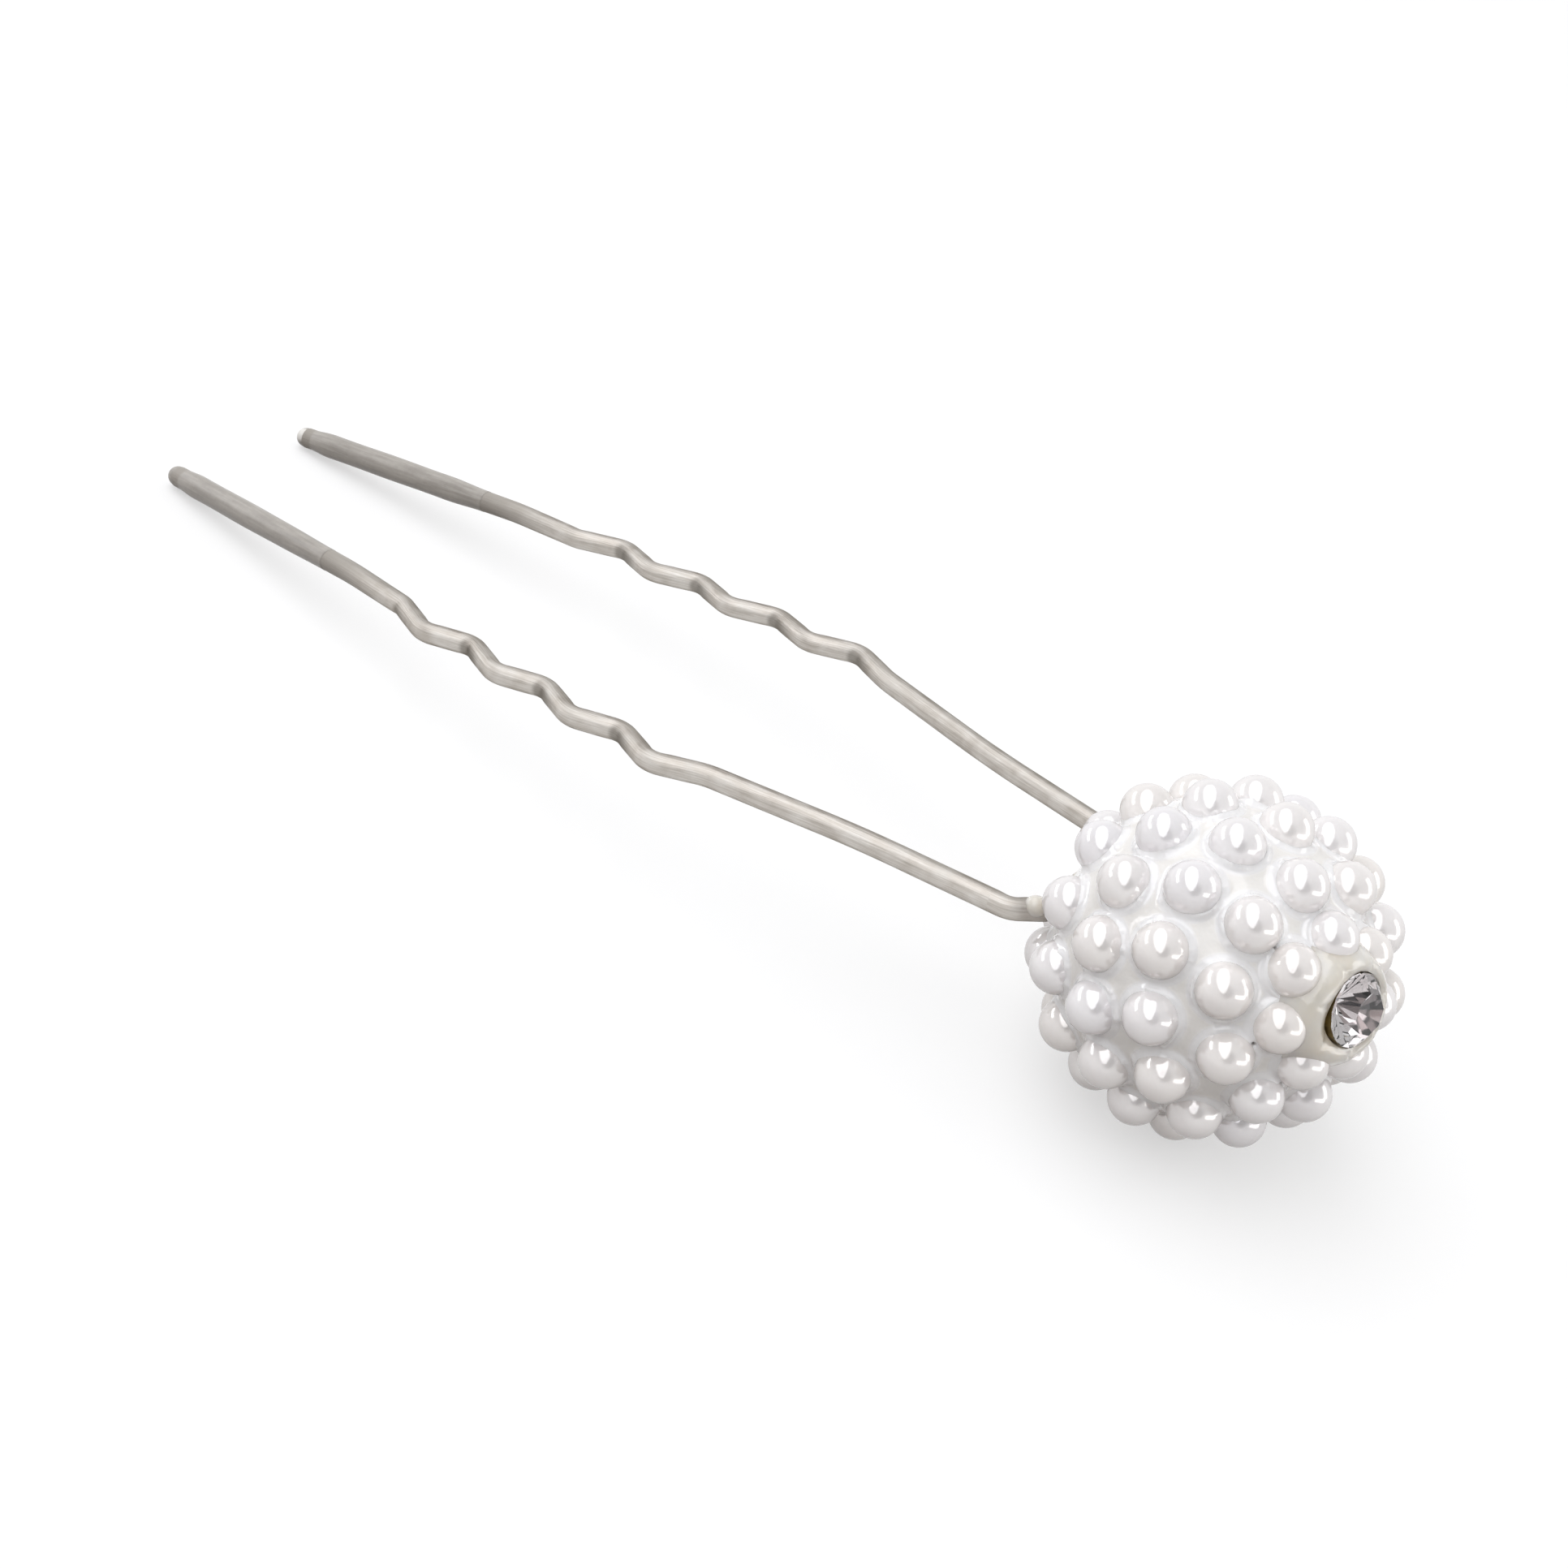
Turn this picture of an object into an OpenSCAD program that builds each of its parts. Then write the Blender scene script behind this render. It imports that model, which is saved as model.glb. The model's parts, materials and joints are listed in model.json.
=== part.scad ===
// Pearl ball hair pin: a U of springy steel wire with crimped legs and dipped
// tips, carrying a ball covered in rings of pearls with one crystal at its pole.
// Millimetres. The pin lies on the plane Z = 0, resting on the ball and both tips.
// +X runs along the pin towards the ball, +Y towards the left leg, +Z up.

/* [Ball] */
// Diameter of the plastic core that carries the pearls
core_d = 16.2; // [15:0.1:18]
// Thickness of the glue coat brushed over the core
coat_t = 0.35; // [0.05:0.01:0.5]
// Diameter of the hole through the core
bore_d = 2.2; // [1:0.1:3]
// Angle of the core's hole to the pin, seen from above
bore_turn = -18; // [-30:0.5:30]
// Angle of the core's hole above the plane of the pin
bore_rise = 17.5; // [-30:0.5:30]

/* [Pearls] */
// Diameter of one pearl
pearl_d = 2.7; // [2.2:0.05:2.8]
// Height of a pearl's crown above the glue coat
pearl_h = 1.55; // [1.35:0.05:2]
// Least space between neighbouring pearls of a ring
pearl_space = 0.1; // [0.05:0.01:0.3]
// Clearance between a pearl and the glue coat it sits on
pearl_gap = 0.02; // [0.005:0.005:0.05]

/* [Pin wire] */
// Diameter of the wire
wire_d = 1.3; // [0.8:0.05:1.4]
// Length of the pin from its cross wire to the centre of the tips' rounding
pin_length = 69; // [58:0.1:90]
// Width of the cross wire between its two shoulders
cross_w = 7.5; // [6:0.1:7.8]
// Distance from the cross wire back to the corners where the legs begin
bow_rise = 1.6; // [1.4:0.1:2]
// Depth of the cross wire's centre line below the surface of the glue coat
bow_sink = 0.45; // [0.2:0.05:0.6]
// Width between the leg centre lines at the corners
base_w = 10.8; // [9.4:0.1:14]
// Width between the leg centre lines at the tips
tip_w = 11.3; // [7:0.1:16]
// Radius of the wire's centre line in the corners and shoulders
corner_bend_r = 1.6; // [1:0.1:2]
// How far the legs bow inwards between the corners and the waves
leg_sag = 0.4; // [0:0.05:1]
// Height of the legs' upward bow between the ball and the tips
arch_h = 0.8; // [0.1:0.1:3]
// Distance from the tip to the place where the leg bends down towards it
heel_l = 18.8; // [18.6:0.1:19.4]
// Rise of that place above the straight line to the tip
heel_lift = 0.25; // [0:0.05:0.6]
// Height of the cross wire above the middle of the ball
pin_lift = 0.6; // [-1:0.1:1]

/* [Crimped waves] */
// Waves in each leg
wave_count = 4; // [2:1:5]
// Length of one wave
wave_pitch = 6.27; // [5:0.01:7.5]
// Depth of a wave from inner to outer bend
wave_depth = 1.2; // [0.6:0.05:1.8]
// Distance from the tip to the first wave
wave_start = 23.8; // [20:0.1:26]
// Width between the legs' mean lines at the wave nearest the tips
wave_first_w = 16.9; // [12:0.1:22]
// Width between the legs' mean lines at the wave nearest the ball
wave_last_w = 19.1; // [12:0.1:24]
// Width between the leg centre lines at the bend after the last wave
knee_w = 17.2; // [12:0.1:22]
// Radius of the wire's centre line in the wave bends
wave_bend_r = 1.7; // [1:0.1:2.2]

/* [Flex] */
// Straight wire left on the cross wire beyond each corner
stub_l = 0.5; // [0.2:0.1:1.5]
// Slit where a leg flexes against its stub
flex_gap = 0.08; // [0.07:0.01:0.15]

/* [Tip coats] */
// Diameter of the dipped coat on a tip
tip_coat_d = 1.7; // [1.5:0.05:2.4]
// Length of the coat's straight part
tip_coat_l = 13; // [8:0.5:14]
// Length of the coat's feathered end
tip_feather_l = 4; // [1:0.1:4.5]
// Thickness of the coat where it feathers out
tip_feather_t = 0.06; // [0.03:0.01:0.12]
// Clearance between the coat and the wire inside it
tip_coat_gap = 0.01; // [0.005:0.005:0.03]

/* [Bow glue] */
// Clearance of the ball's groove to the cross wire that lies in it
groove_gap = 0.05; // [0.03:0.01:0.1]
// Diameter of the glue bead laid over the cross wire
bow_glue_d = 1.9; // [1.8:0.05:2.2]
// Length of the glue bead along the cross wire
bow_glue_l = 4; // [2:0.1:4.4]

/* [Crystal] */
// Diameter of the crystal across its girdle
stone_d = 3.9; // [3:0.1:4.2]
// Diameter of the crystal's flat table
table_d = 2.2; // [1.6:0.1:2.6]
// Height of the crystal's table above the crowns of the pearls
stone_proud = 0.4; // [0:0.05:0.6]
// Height of the crystal's crown above the girdle
crown_h = 0.75; // [0.4:0.05:1]
// Thickness of the girdle
girdle_t = 0.12; // [0.06:0.01:0.25]
// Depth of the crystal's pavilion below the girdle
pavilion_h = 1.5; // [1:0.05:1.6]
// Diameter of the blunt point of the pavilion
culet_d = 0.3; // [0.2:0.05:0.6]
// Thickness of the foil behind the crystal
foil_t = 0.05; // [0.03:0.01:0.1]
// Width of the glue around the crystal, from its girdle outwards
stone_glue_w = 1.3; // [0.8:0.1:1.6]
// Clearance of the glue to the pieces it holds
stone_glue_gap = 0.02; // [0.01:0.005:0.05]
// Clearance between the crystal and its foil
foil_gap = 0.01; // [0.005:0.005:0.03]

/* [Hidden] */
$fn = 96;
// Facets of a sphere where a thin lens is left beside it
fine_fn = 288;

// Rings of pearls, counted from the crystal: angle from its pole, most pearls, turn of the first
ring_polar = [22.5, 42, 65.5, 89, 115, 136, 158];
ring_most = [7, 10, 14, 16, 14, 10, 7];
ring_phase = [21, 2.5, 14, 3, 10, 18, 0];
// Flats round the wire, steps in each of its bends, and sides of the cut crystal
wire_sides = 16;
bend_steps = 6;
stone_sides = 8;

wire_r = wire_d / 2;
core_r = core_d / 2;
coat_r = core_r + coat_t;
pearl_r = pearl_d / 2;
ball_r = coat_r + pearl_h;
pearl_orbit = ball_r - pearl_r;
tip_coat_r = tip_coat_d / 2;
stone_r = stone_d / 2;
girdle_z = ball_r + stone_proud - crown_h - girdle_t;

// Places along the pin, measured from the middle of the ball
cross_x = bow_sink - coat_r;
corner_x = cross_x - bow_rise;
tip_x = cross_x - pin_length;
wave_x = tip_x + wave_start;
knee_x = wave_x + wave_count * wave_pitch;

function unit(v) = v / norm(v);
function mix(a, b, t) = a + (b - a) * t;
function to_right(p) = [p.x, -p.y, p.z];

// Corners of the centre line of the left leg, from the cross wire to the tip
wave_z = pin_lift + arch_h;
function wave_half(i) =
  mix(wave_first_w, wave_last_w, i / (2 * wave_count)) / 2
  + (i % 2 == 0 ? -wave_depth / 2 : wave_depth / 2);
shoulder = [cross_x, cross_w / 2, pin_lift];
corner = [corner_x, base_w / 2, pin_lift];
knee = [knee_x, knee_w / 2, wave_z];
sag = mix(corner, knee, 0.5) - [0, leg_sag, 0];
waves = [
  for (i = [2 * wave_count - 1 : -1 : 0])
    [wave_x + i * wave_pitch / 2, wave_half(i), wave_z]
];
tip = [tip_x, tip_w / 2, pin_lift];
heel = mix(tip, waves[len(waves) - 1], heel_l / wave_start) + [0, 0, heel_lift];
root_way = unit(sag - corner);
tip_way = unit(tip - heel);
corner_run = corner_bend_r * tan(acos(unit(corner - shoulder) * root_way) / 2);
stub_end = corner + (corner_run + stub_l) * root_way;
leg_start = stub_end + flex_gap * root_way;

// Axes of the core's hole, and a point on them turned to the axes of the pin
hole_x = [sin(bore_rise) * cos(bore_turn), sin(bore_rise) * sin(bore_turn), -cos(bore_rise)];
hole_y = [-sin(bore_turn), cos(bore_turn), 0];
hole_z = [cos(bore_rise) * cos(bore_turn), cos(bore_rise) * sin(bore_turn), sin(bore_rise)];
function aim(v) = v.x * hole_x + v.y * hole_y + v.z * hole_z;

// Middle of a pearl in ring k, on the axes of the hole
function pearl_at(k, turn) =
  pearl_orbit * [
    sin(ring_polar[k]) * cos(turn),
    sin(ring_polar[k]) * sin(turn),
    cos(ring_polar[k])
  ];
// Pearls that ring k has room for
function ring_fits(k) =
  floor(180 / asin((pearl_d + pearl_space) / 2 / (pearl_orbit * sin(ring_polar[k]))));
function ring_count(k) = min(ring_most[k], ring_fits(k));
// Turns of the pearls in ring k: a pearl is left off where the wire or its glue passes
bow_line = [knee, corner, shoulder, to_right(shoulder), to_right(corner), to_right(knee)];
bow_keep_out = bow_glue_d / 2 + pearl_r + pearl_gap;
function to_run(c, a, b) =
  norm(c - mix(a, b, max(0, min(1, (c - a) * (b - a) / ((b - a) * (b - a))))));
function clears_bow(c) =
  min([for (i = [1 : len(bow_line) - 1]) to_run(c, bow_line[i - 1], bow_line[i])]) > bow_keep_out;
function ring_turns(k) = [
  for (i = [0 : ring_count(k) - 1])
    let (turn = ring_phase[k] + 360 * i / ring_count(k))
    if (clears_bow(aim(pearl_at(k, turn)))) turn
];
pearls = [
  for (k = [0 : len(ring_polar) - 1])
    for (turn = ring_turns(k)) aim(pearl_at(k, turn))
];

// How the pin lies: the angle at which the lowest pearl and the tips are level
function lowest(a) = min([for (c = pearls) c.x * sin(a) + c.z * cos(a)]) - pearl_r;
function level(a) = asin((lowest(a) + tip_coat_r - tip.z * cos(a)) / tip.x);
first_guess = 7;
lie = level(level(level(level(first_guess))));
front_x = max([for (c = pearls) c.x * cos(lie) - c.z * sin(lie)]) + pearl_r;
back_x = tip.x * cos(lie) - tip.z * sin(lie) - tip_coat_r;

module lying() {
  translate([-(front_x + back_x) / 2, 0, -lowest(lie)])
    rotate([0, -lie, 0])
      children();
}

module at_hole() {
  rotate([0, 90 - bore_rise, bore_turn]) children();
}

// Rings of the wire through one bend at corner b: each has its middle and its heading
function bend_rings(a, b, c, r) =
  let (
    u = unit(b - a),
    w = unit(c - b),
    turn = acos(u * w),
    inward = unit(w - (w * u) * u),
    centre = b - r * tan(turn / 2) * u + r * inward
  )
  [
    for (i = [0 : bend_steps])
      let (q = turn * i / bend_steps)
      [centre + r * (sin(q) * u - cos(q) * inward), cos(q) * u + sin(q) * inward]
  ];

function wire_rings(p, r) =
  let (last = len(p) - 1)
  [
    [p[0], unit(p[1] - p[0])],
    for (i = [1 : last - 1]) each bend_rings(p[i - 1], p[i], p[i + 1], r),
    [p[last], unit(p[last] - p[last - 1])]
  ];

// A round wire along corners p, with every bend of radius r
module wire(p, r) {
  rings = wire_rings(p, r);
  points = [
    for (g = rings)
      let (
        side = unit(cross(g[1], [0, 0, 1])),
        up = cross(side, g[1])
      )
      for (k = [0 : wire_sides - 1])
        let (q = 360 * k / wire_sides)
        g[0] + wire_r * (cos(q) * side + sin(q) * up)
  ];
  skin = [
    for (g = [0 : len(rings) - 2])
      for (k = [0 : wire_sides - 1])
        let (
          a = g * wire_sides + k,
          b = g * wire_sides + (k + 1) % wire_sides
        )
        each [[a, a + wire_sides, b], [b, a + wire_sides, b + wire_sides]]
  ];
  first_end = [for (k = [0 : wire_sides - 1]) k];
  last_end = [for (k = [wire_sides - 1 : -1 : 0]) (len(rings) - 1) * wire_sides + k];
  polyhedron(points, concat([first_end], skin, [last_end]));
}

module pin_bend() {
  half = [shoulder, corner, stub_end];
  color("silver")
    lying()
      wire(concat([for (i = [2 : -1 : 0]) to_right(half[i])], half), corner_bend_r);
}

module leg() {
  color("silver")
    wire(concat([leg_start, sag, knee], waves, [heel, tip]), wave_bend_r);
}

module left_leg() {
  lying() leg();
}

module right_leg() {
  lying() mirror([0, 1, 0]) leg();
}

// Dipped coat: a blind sleeve with a round end that feathers out along the wire
module tip_coat() {
  color("darkgray")
    translate(tip)
      rotate([0, acos(tip_way.z), atan2(tip_way.y, tip_way.x)])
        difference() {
          union() {
            sphere(r = tip_coat_r);
            translate([0, 0, -tip_coat_l]) cylinder(r = tip_coat_r, h = tip_coat_l);
            translate([0, 0, -tip_coat_l - tip_feather_l])
              cylinder(r1 = wire_r + tip_feather_t, r2 = tip_coat_r, h = tip_feather_l);
          }
          translate([0, 0, -tip_coat_l - 2 * tip_feather_l])
            cylinder(r = wire_r + tip_coat_gap, h = tip_coat_l + 2 * tip_feather_l + tip_coat_gap);
        }
}

module left_tip_coat() {
  lying() tip_coat();
}

module right_tip_coat() {
  lying() mirror([0, 1, 0]) tip_coat();
}

// A round bar along the cross wire
module cross_bar(r, l) {
  translate([cross_x, 0, pin_lift])
    rotate([90, 0, 0])
      cylinder(r = r, h = l, center = true);
}

// Bead of clear glue that holds the cross wire in the ball's groove
module bow_glue() {
  color("ivory", 0.6)
    lying()
      difference() {
        cross_bar(bow_glue_d / 2, bow_glue_l);
        cross_bar(wire_r, 2 * bow_glue_l);
        sphere(r = coat_r, $fn = fine_fn);
      }
}

module bore() {
  at_hole() cylinder(d = bore_d, h = 2 * ball_r, center = true);
}

module groove() {
  cross_bar(wire_r + groove_gap, 2 * ball_r);
}

module ball_core() {
  color("ghostwhite")
    lying()
      difference() {
        sphere(r = core_r);
        bore();
        groove();
      }
}

module glue_coat() {
  color("snow")
    lying()
      difference() {
        sphere(r = coat_r);
        sphere(r = core_r);
        bore();
        groove();
      }
}

// A flat-backed pearl, seated on the glue coat
module pearl() {
  seat_z = coat_r + pearl_gap;
  difference() {
    translate([0, 0, pearl_orbit]) sphere(r = pearl_r);
    cylinder(r = ball_r, h = seat_z);
  }
}

module pearl_ring(k) {
  color("white")
    lying()
      at_hole()
        for (turn = ring_turns(k))
          rotate([0, ring_polar[k], turn])
            pearl();
}

module stone() {
  color("lavender", 0.7)
    lying()
      at_hole()
        translate([0, 0, girdle_z])
          rotate_extrude($fn = stone_sides)
            polygon([
              [0, -pavilion_h],
              [culet_d / 2, -pavilion_h],
              [stone_r, 0],
              [stone_r, girdle_t],
              [table_d / 2, girdle_t + crown_h],
              [0, girdle_t + crown_h]
            ]);
}

module stone_foil() {
  color("darkgoldenrod")
    lying()
      at_hole()
        translate([0, 0, girdle_z - foil_gap])
          rotate_extrude($fn = stone_sides)
            polygon([
              [0, -pavilion_h],
              [culet_d / 2, -pavilion_h],
              [stone_r, 0],
              [stone_r, -foil_t],
              [culet_d / 2, -pavilion_h - foil_t],
              [0, -pavilion_h - foil_t]
            ]);
}

// Clear glue pooled between the crystal, the first ring of pearls and the core
module stone_glue() {
  pool_r = stone_r + stone_glue_w;
  foil_r = stone_r + stone_glue_gap;
  foil_z = girdle_z - foil_gap - foil_t;
  color("cornsilk", 0.6)
    lying()
      at_hole()
        difference() {
          rotate_extrude()
            polygon([
              [0, core_r / 2],
              [pool_r, core_r / 2],
              [pool_r, coat_r],
              [stone_r, girdle_z],
              [0, girdle_z]
            ]);
          sphere(r = coat_r + stone_glue_gap);
          translate([0, 0, foil_z - pavilion_h])
            cylinder(r1 = culet_d / 2 + stone_glue_gap, r2 = foil_r, h = pavilion_h);
          translate([0, 0, foil_z]) cylinder(r = foil_r, h = ball_r);
          for (turn = ring_turns(0))
            translate(pearl_at(0, turn)) sphere(r = pearl_r + stone_glue_gap);
        }
}

pin_bend();
left_leg();
right_leg();
left_tip_coat();
right_tip_coat();
bow_glue();
ball_core();
glue_coat();
pearl_ring(0);  // pearl_ring_1
pearl_ring(1);  // pearl_ring_2
pearl_ring(2);  // pearl_ring_3
pearl_ring(3);  // pearl_ring_4
pearl_ring(4);  // pearl_ring_5
pearl_ring(5);  // pearl_ring_6
pearl_ring(6);  // pearl_ring_7
stone();
stone_foil();
stone_glue();
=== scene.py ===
# %% [markdown]
# A hair pin with a ball of pearls, dressed in Blender.
# The imported solids are the frame: they say where everything is and how it moves.
# This lesson lays finer surfaces over them, piece by piece, and gives each one its finish.
# The first cell loads the frame.

# %% Load the imported model
import json

import bpy
import numpy as np
from mathutils import Matrix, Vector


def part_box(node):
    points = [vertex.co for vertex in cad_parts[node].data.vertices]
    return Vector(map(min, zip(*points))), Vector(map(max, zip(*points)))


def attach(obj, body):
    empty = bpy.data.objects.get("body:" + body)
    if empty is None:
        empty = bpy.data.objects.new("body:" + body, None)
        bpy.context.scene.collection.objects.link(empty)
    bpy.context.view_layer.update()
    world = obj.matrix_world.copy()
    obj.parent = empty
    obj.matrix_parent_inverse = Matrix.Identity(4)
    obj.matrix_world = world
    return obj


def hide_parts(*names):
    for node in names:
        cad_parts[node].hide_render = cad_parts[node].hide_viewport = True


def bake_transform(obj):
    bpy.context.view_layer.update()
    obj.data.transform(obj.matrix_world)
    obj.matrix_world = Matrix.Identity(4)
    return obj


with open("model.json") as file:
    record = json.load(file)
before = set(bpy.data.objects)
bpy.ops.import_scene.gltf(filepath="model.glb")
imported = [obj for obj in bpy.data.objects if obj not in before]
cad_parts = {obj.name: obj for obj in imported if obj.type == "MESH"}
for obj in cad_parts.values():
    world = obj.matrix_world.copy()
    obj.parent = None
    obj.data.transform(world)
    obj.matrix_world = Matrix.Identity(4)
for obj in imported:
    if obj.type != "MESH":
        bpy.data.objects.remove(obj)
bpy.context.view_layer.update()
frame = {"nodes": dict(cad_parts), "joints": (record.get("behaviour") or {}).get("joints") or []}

# %% [markdown]
# The pin lies on the table with its ball resting on two pearls, so it leans a little.
# It is easier to think along the pin's own axes: forward to the ball, left, and normal to the wire's plane.
# The axis of a leg's spring is that normal, and the middle of the core is the middle of the ball.
# Lengths in this lesson are in millimetres on these axes, and one function turns them into the frame.

# %% The pin's own axes
MM = 0.001
springs = {joint["name"]: joint for joint in frame["joints"]}
pin_normal = np.array(springs["right_leg_flex"]["axis"], float)
pin_left = np.array([0.0, 1.0, 0.0])
pin_forward = np.cross(pin_left, pin_normal)
pin_axes = np.stack([pin_forward, pin_left, pin_normal])
ball_middle = np.mean(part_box("ball_core"), axis=0)


def from_pin(points):
    """Millimetres on the pin's axes, counted from the ball's middle, as metres in the frame."""
    return ball_middle + np.asarray(points, float) @ pin_axes * MM


print("middle of the ball", ball_middle.round(5), "pin normal", pin_normal.round(4))

# %% [markdown]
# The camera stands where the photographer stood. The two legs mirror each other, which gives away the
# angle of view, and the ball gives the distance. The aim is written as a turn, a dip and a roll, and the
# position follows from where the ball's middle falls in the picture. This is surer than moving it by eye.

# %% The camera
FRAME_PX = 1932
FOCAL_PX = 2812.6
BALL_PX = (1494.9, 1180.1)
BALL_DEPTH = 120.72
VIEW_TURN, VIEW_DIP, VIEW_ROLL = np.radians([120.146, 34.729, 15.584])
SENSOR_WIDTH = 36.0

view_ahead = np.array([
    np.cos(VIEW_DIP) * np.cos(VIEW_TURN),
    np.cos(VIEW_DIP) * np.sin(VIEW_TURN),
    -np.sin(VIEW_DIP),
])
level_right = np.array([np.sin(VIEW_TURN), -np.cos(VIEW_TURN), 0.0])
level_up = np.cross(level_right, view_ahead)
view_right = np.cos(VIEW_ROLL) * level_right + np.sin(VIEW_ROLL) * level_up
view_up = np.cos(VIEW_ROLL) * level_up - np.sin(VIEW_ROLL) * level_right

off_right, off_down = (np.array(BALL_PX) - FRAME_PX / 2) / FOCAL_PX
to_ball = view_ahead + off_right * view_right - off_down * view_up
camera_place = ball_middle - BALL_DEPTH * MM * to_ball

camera_data = bpy.data.cameras.new("photo_camera")
camera_data.sensor_width = SENSOR_WIDTH
camera_data.lens = SENSOR_WIDTH * FOCAL_PX / FRAME_PX
camera_data.clip_start = 0.005


def add_object(name, data):
    """A new object in the scene, made of a camera, a lamp or a mesh."""
    thing = bpy.data.objects.new(name, data)
    bpy.context.collection.objects.link(thing)
    return thing


def stand(thing, place, right, up, back):
    """Puts a camera or lamp at a place, turned to three axes at right angles: it faces against back."""
    turn = Matrix(np.stack([right, up, back], axis=1).tolist()).to_4x4()
    thing.matrix_world = Matrix.Translation(place.tolist()) @ turn


camera = add_object("photo_camera", camera_data)
stand(camera, camera_place, view_right, view_up, -view_ahead)
bpy.context.scene.camera = camera
print("camera at", camera_place.round(4), "lens", round(camera_data.lens, 2))

# %% [markdown]
# Pearls are small mirrors, so the lamps are read off their highlights.
# Each pearl shows a tall bright oval above its middle: a long panel overhead, along the line of view.
# A hooked mark on its right is a pair of panels on that side, and a slanted streak on its upper left is
# a strip high on the left. The darker spot under the oval is the side on which the photographer stood.

# %% The lamps
def unit(vectors):
    """Vectors shortened or stretched to length 1."""
    vectors = np.asarray(vectors, float)
    return vectors / np.linalg.norm(vectors, axis=-1, keepdims=True)


COOL_WHITE, WARM_WHITE, FAR_WHITE = (0.97, 0.975, 1.0), (1.0, 0.985, 0.97), (0.97, 0.97, 1.0)


def add_panel(name, way, distance, wide, tall, watts, colour, spin=0.0, shape="RECTANGLE"):
    """A soft panel lamp, in metres, that faces the ball and is turned by spin degrees.

    Its way from the ball is counted to the camera's right, upwards and backwards."""
    right, up, back = way
    towards = unit(right * view_right + up * view_up - back * view_ahead)
    along = unit(view_up - (view_up @ towards) * towards)
    across = np.cross(along, towards)
    swing = np.radians(spin)
    panel_right = np.cos(swing) * across + np.sin(swing) * along
    panel_up = np.cos(swing) * along - np.sin(swing) * across
    data = bpy.data.lights.new(name, "AREA")
    data.shape = shape
    data.size = wide
    data.size_y = tall
    data.energy = watts
    data.color = colour
    place = ball_middle + distance * towards
    stand(add_object(name, data), place, panel_right, panel_up, towards)
    print(name, "stands at", place.round(2))


add_panel(
    "overhead_panel", way=(-0.17, 0.72, 0.68), distance=0.75, wide=0.62, tall=2.0, watts=5.0,
    colour=COOL_WHITE, shape="ELLIPSE",
)
add_panel(
    "right_post", way=(0.98, 0.15, 0.11), distance=0.8, wide=0.26, tall=0.65, watts=1.0, colour=WARM_WHITE
)
add_panel(
    "right_bar", way=(0.80, -0.34, 0.49), distance=0.8, wide=0.7, tall=0.18, watts=0.7, colour=WARM_WHITE
)
add_panel(
    "far_strip", way=(-0.72, 0.66, -0.02), distance=0.9, wide=0.13, tall=0.8, watts=1.2,
    colour=FAR_WHITE, spin=46.0,
)

# %% [markdown]
# A small thing on white paper is lit mostly by the room. The world stands for that room: pale from above,
# dimmer on the photographer's side, which draws the grey spot in every pearl.
# Looked at straight it is plain white. In a mirror or through a glass it is a white backdrop under a dimmer
# ceiling. Its light on the object is weaker, and the Light Path node tells the three apart.

# %% Nodes and the room
def add_node(owner, kind, inputs=None, **settings):
    """One node of a material or world. Settings are its properties, inputs are numbers or other outputs."""
    node = owner.node_tree.nodes.new("ShaderNode" + kind)
    for setting, value in settings.items():
        setattr(node, setting, value)
    for socket, value in (inputs or {}).items():
        if isinstance(value, bpy.types.NodeSocket):
            owner.node_tree.links.new(value, node.inputs[socket])
        else:
            node.inputs[socket].default_value = value
    return node


def join(owner, output, node, socket):
    """Runs an output into a socket of a node that already exists."""
    owner.node_tree.links.new(output, node.inputs[socket])


def fit_range(owner, value, low, high, to_low, to_high):
    """Stretches a value from low..high to to_low..to_high, smoothly and without going past the ends."""
    inputs = {"Value": value, "From Min": low, "From Max": high, "To Min": to_low, "To Max": to_high}
    return add_node(owner, "MapRange", inputs, interpolation_type="SMOOTHSTEP").outputs["Result"]


def combine(owner, way, first, second):
    """Two numbers made into one, such as by MAXIMUM or MULTIPLY."""
    return add_node(owner, "Math", {0: first, 1: second}, operation=way).outputs[0]


def blend_values(owner, factor, first, second):
    """A number between two others, by a factor."""
    return add_node(owner, "Mix", {0: factor, 2: first, 3: second}, data_type="FLOAT").outputs[0]


def mingle(owner, factor, first, second, way="MIX"):
    """Lays the second colour over the first by a factor."""
    inputs = {0: factor, 6: first, 7: second}
    return add_node(owner, "Mix", inputs, data_type="RGBA", blend_type=way).outputs[2]


def seen_rays(owner):
    """1 for a ray from the camera, and 1 for a ray from the camera, off a mirror or through a glass."""
    rays = add_node(owner, "LightPath").outputs
    bounced = combine(owner, "MAXIMUM", rays["Is Glossy Ray"], rays["Is Transmission Ray"])
    return rays["Is Camera Ray"], combine(owner, "MAXIMUM", rays["Is Camera Ray"], bounced)


ROOM_LOW, ROOM_HIGH, RISE_FROM, RISE_TO = 0.56, 0.63, -0.1, 0.9
DIM_LEAST, DIM_FROM, DIM_TO = 0.3, 0.84, 0.98
CEILING, CEILING_FROM, CEILING_TO = 0.6, 0.15, 0.75

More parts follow.
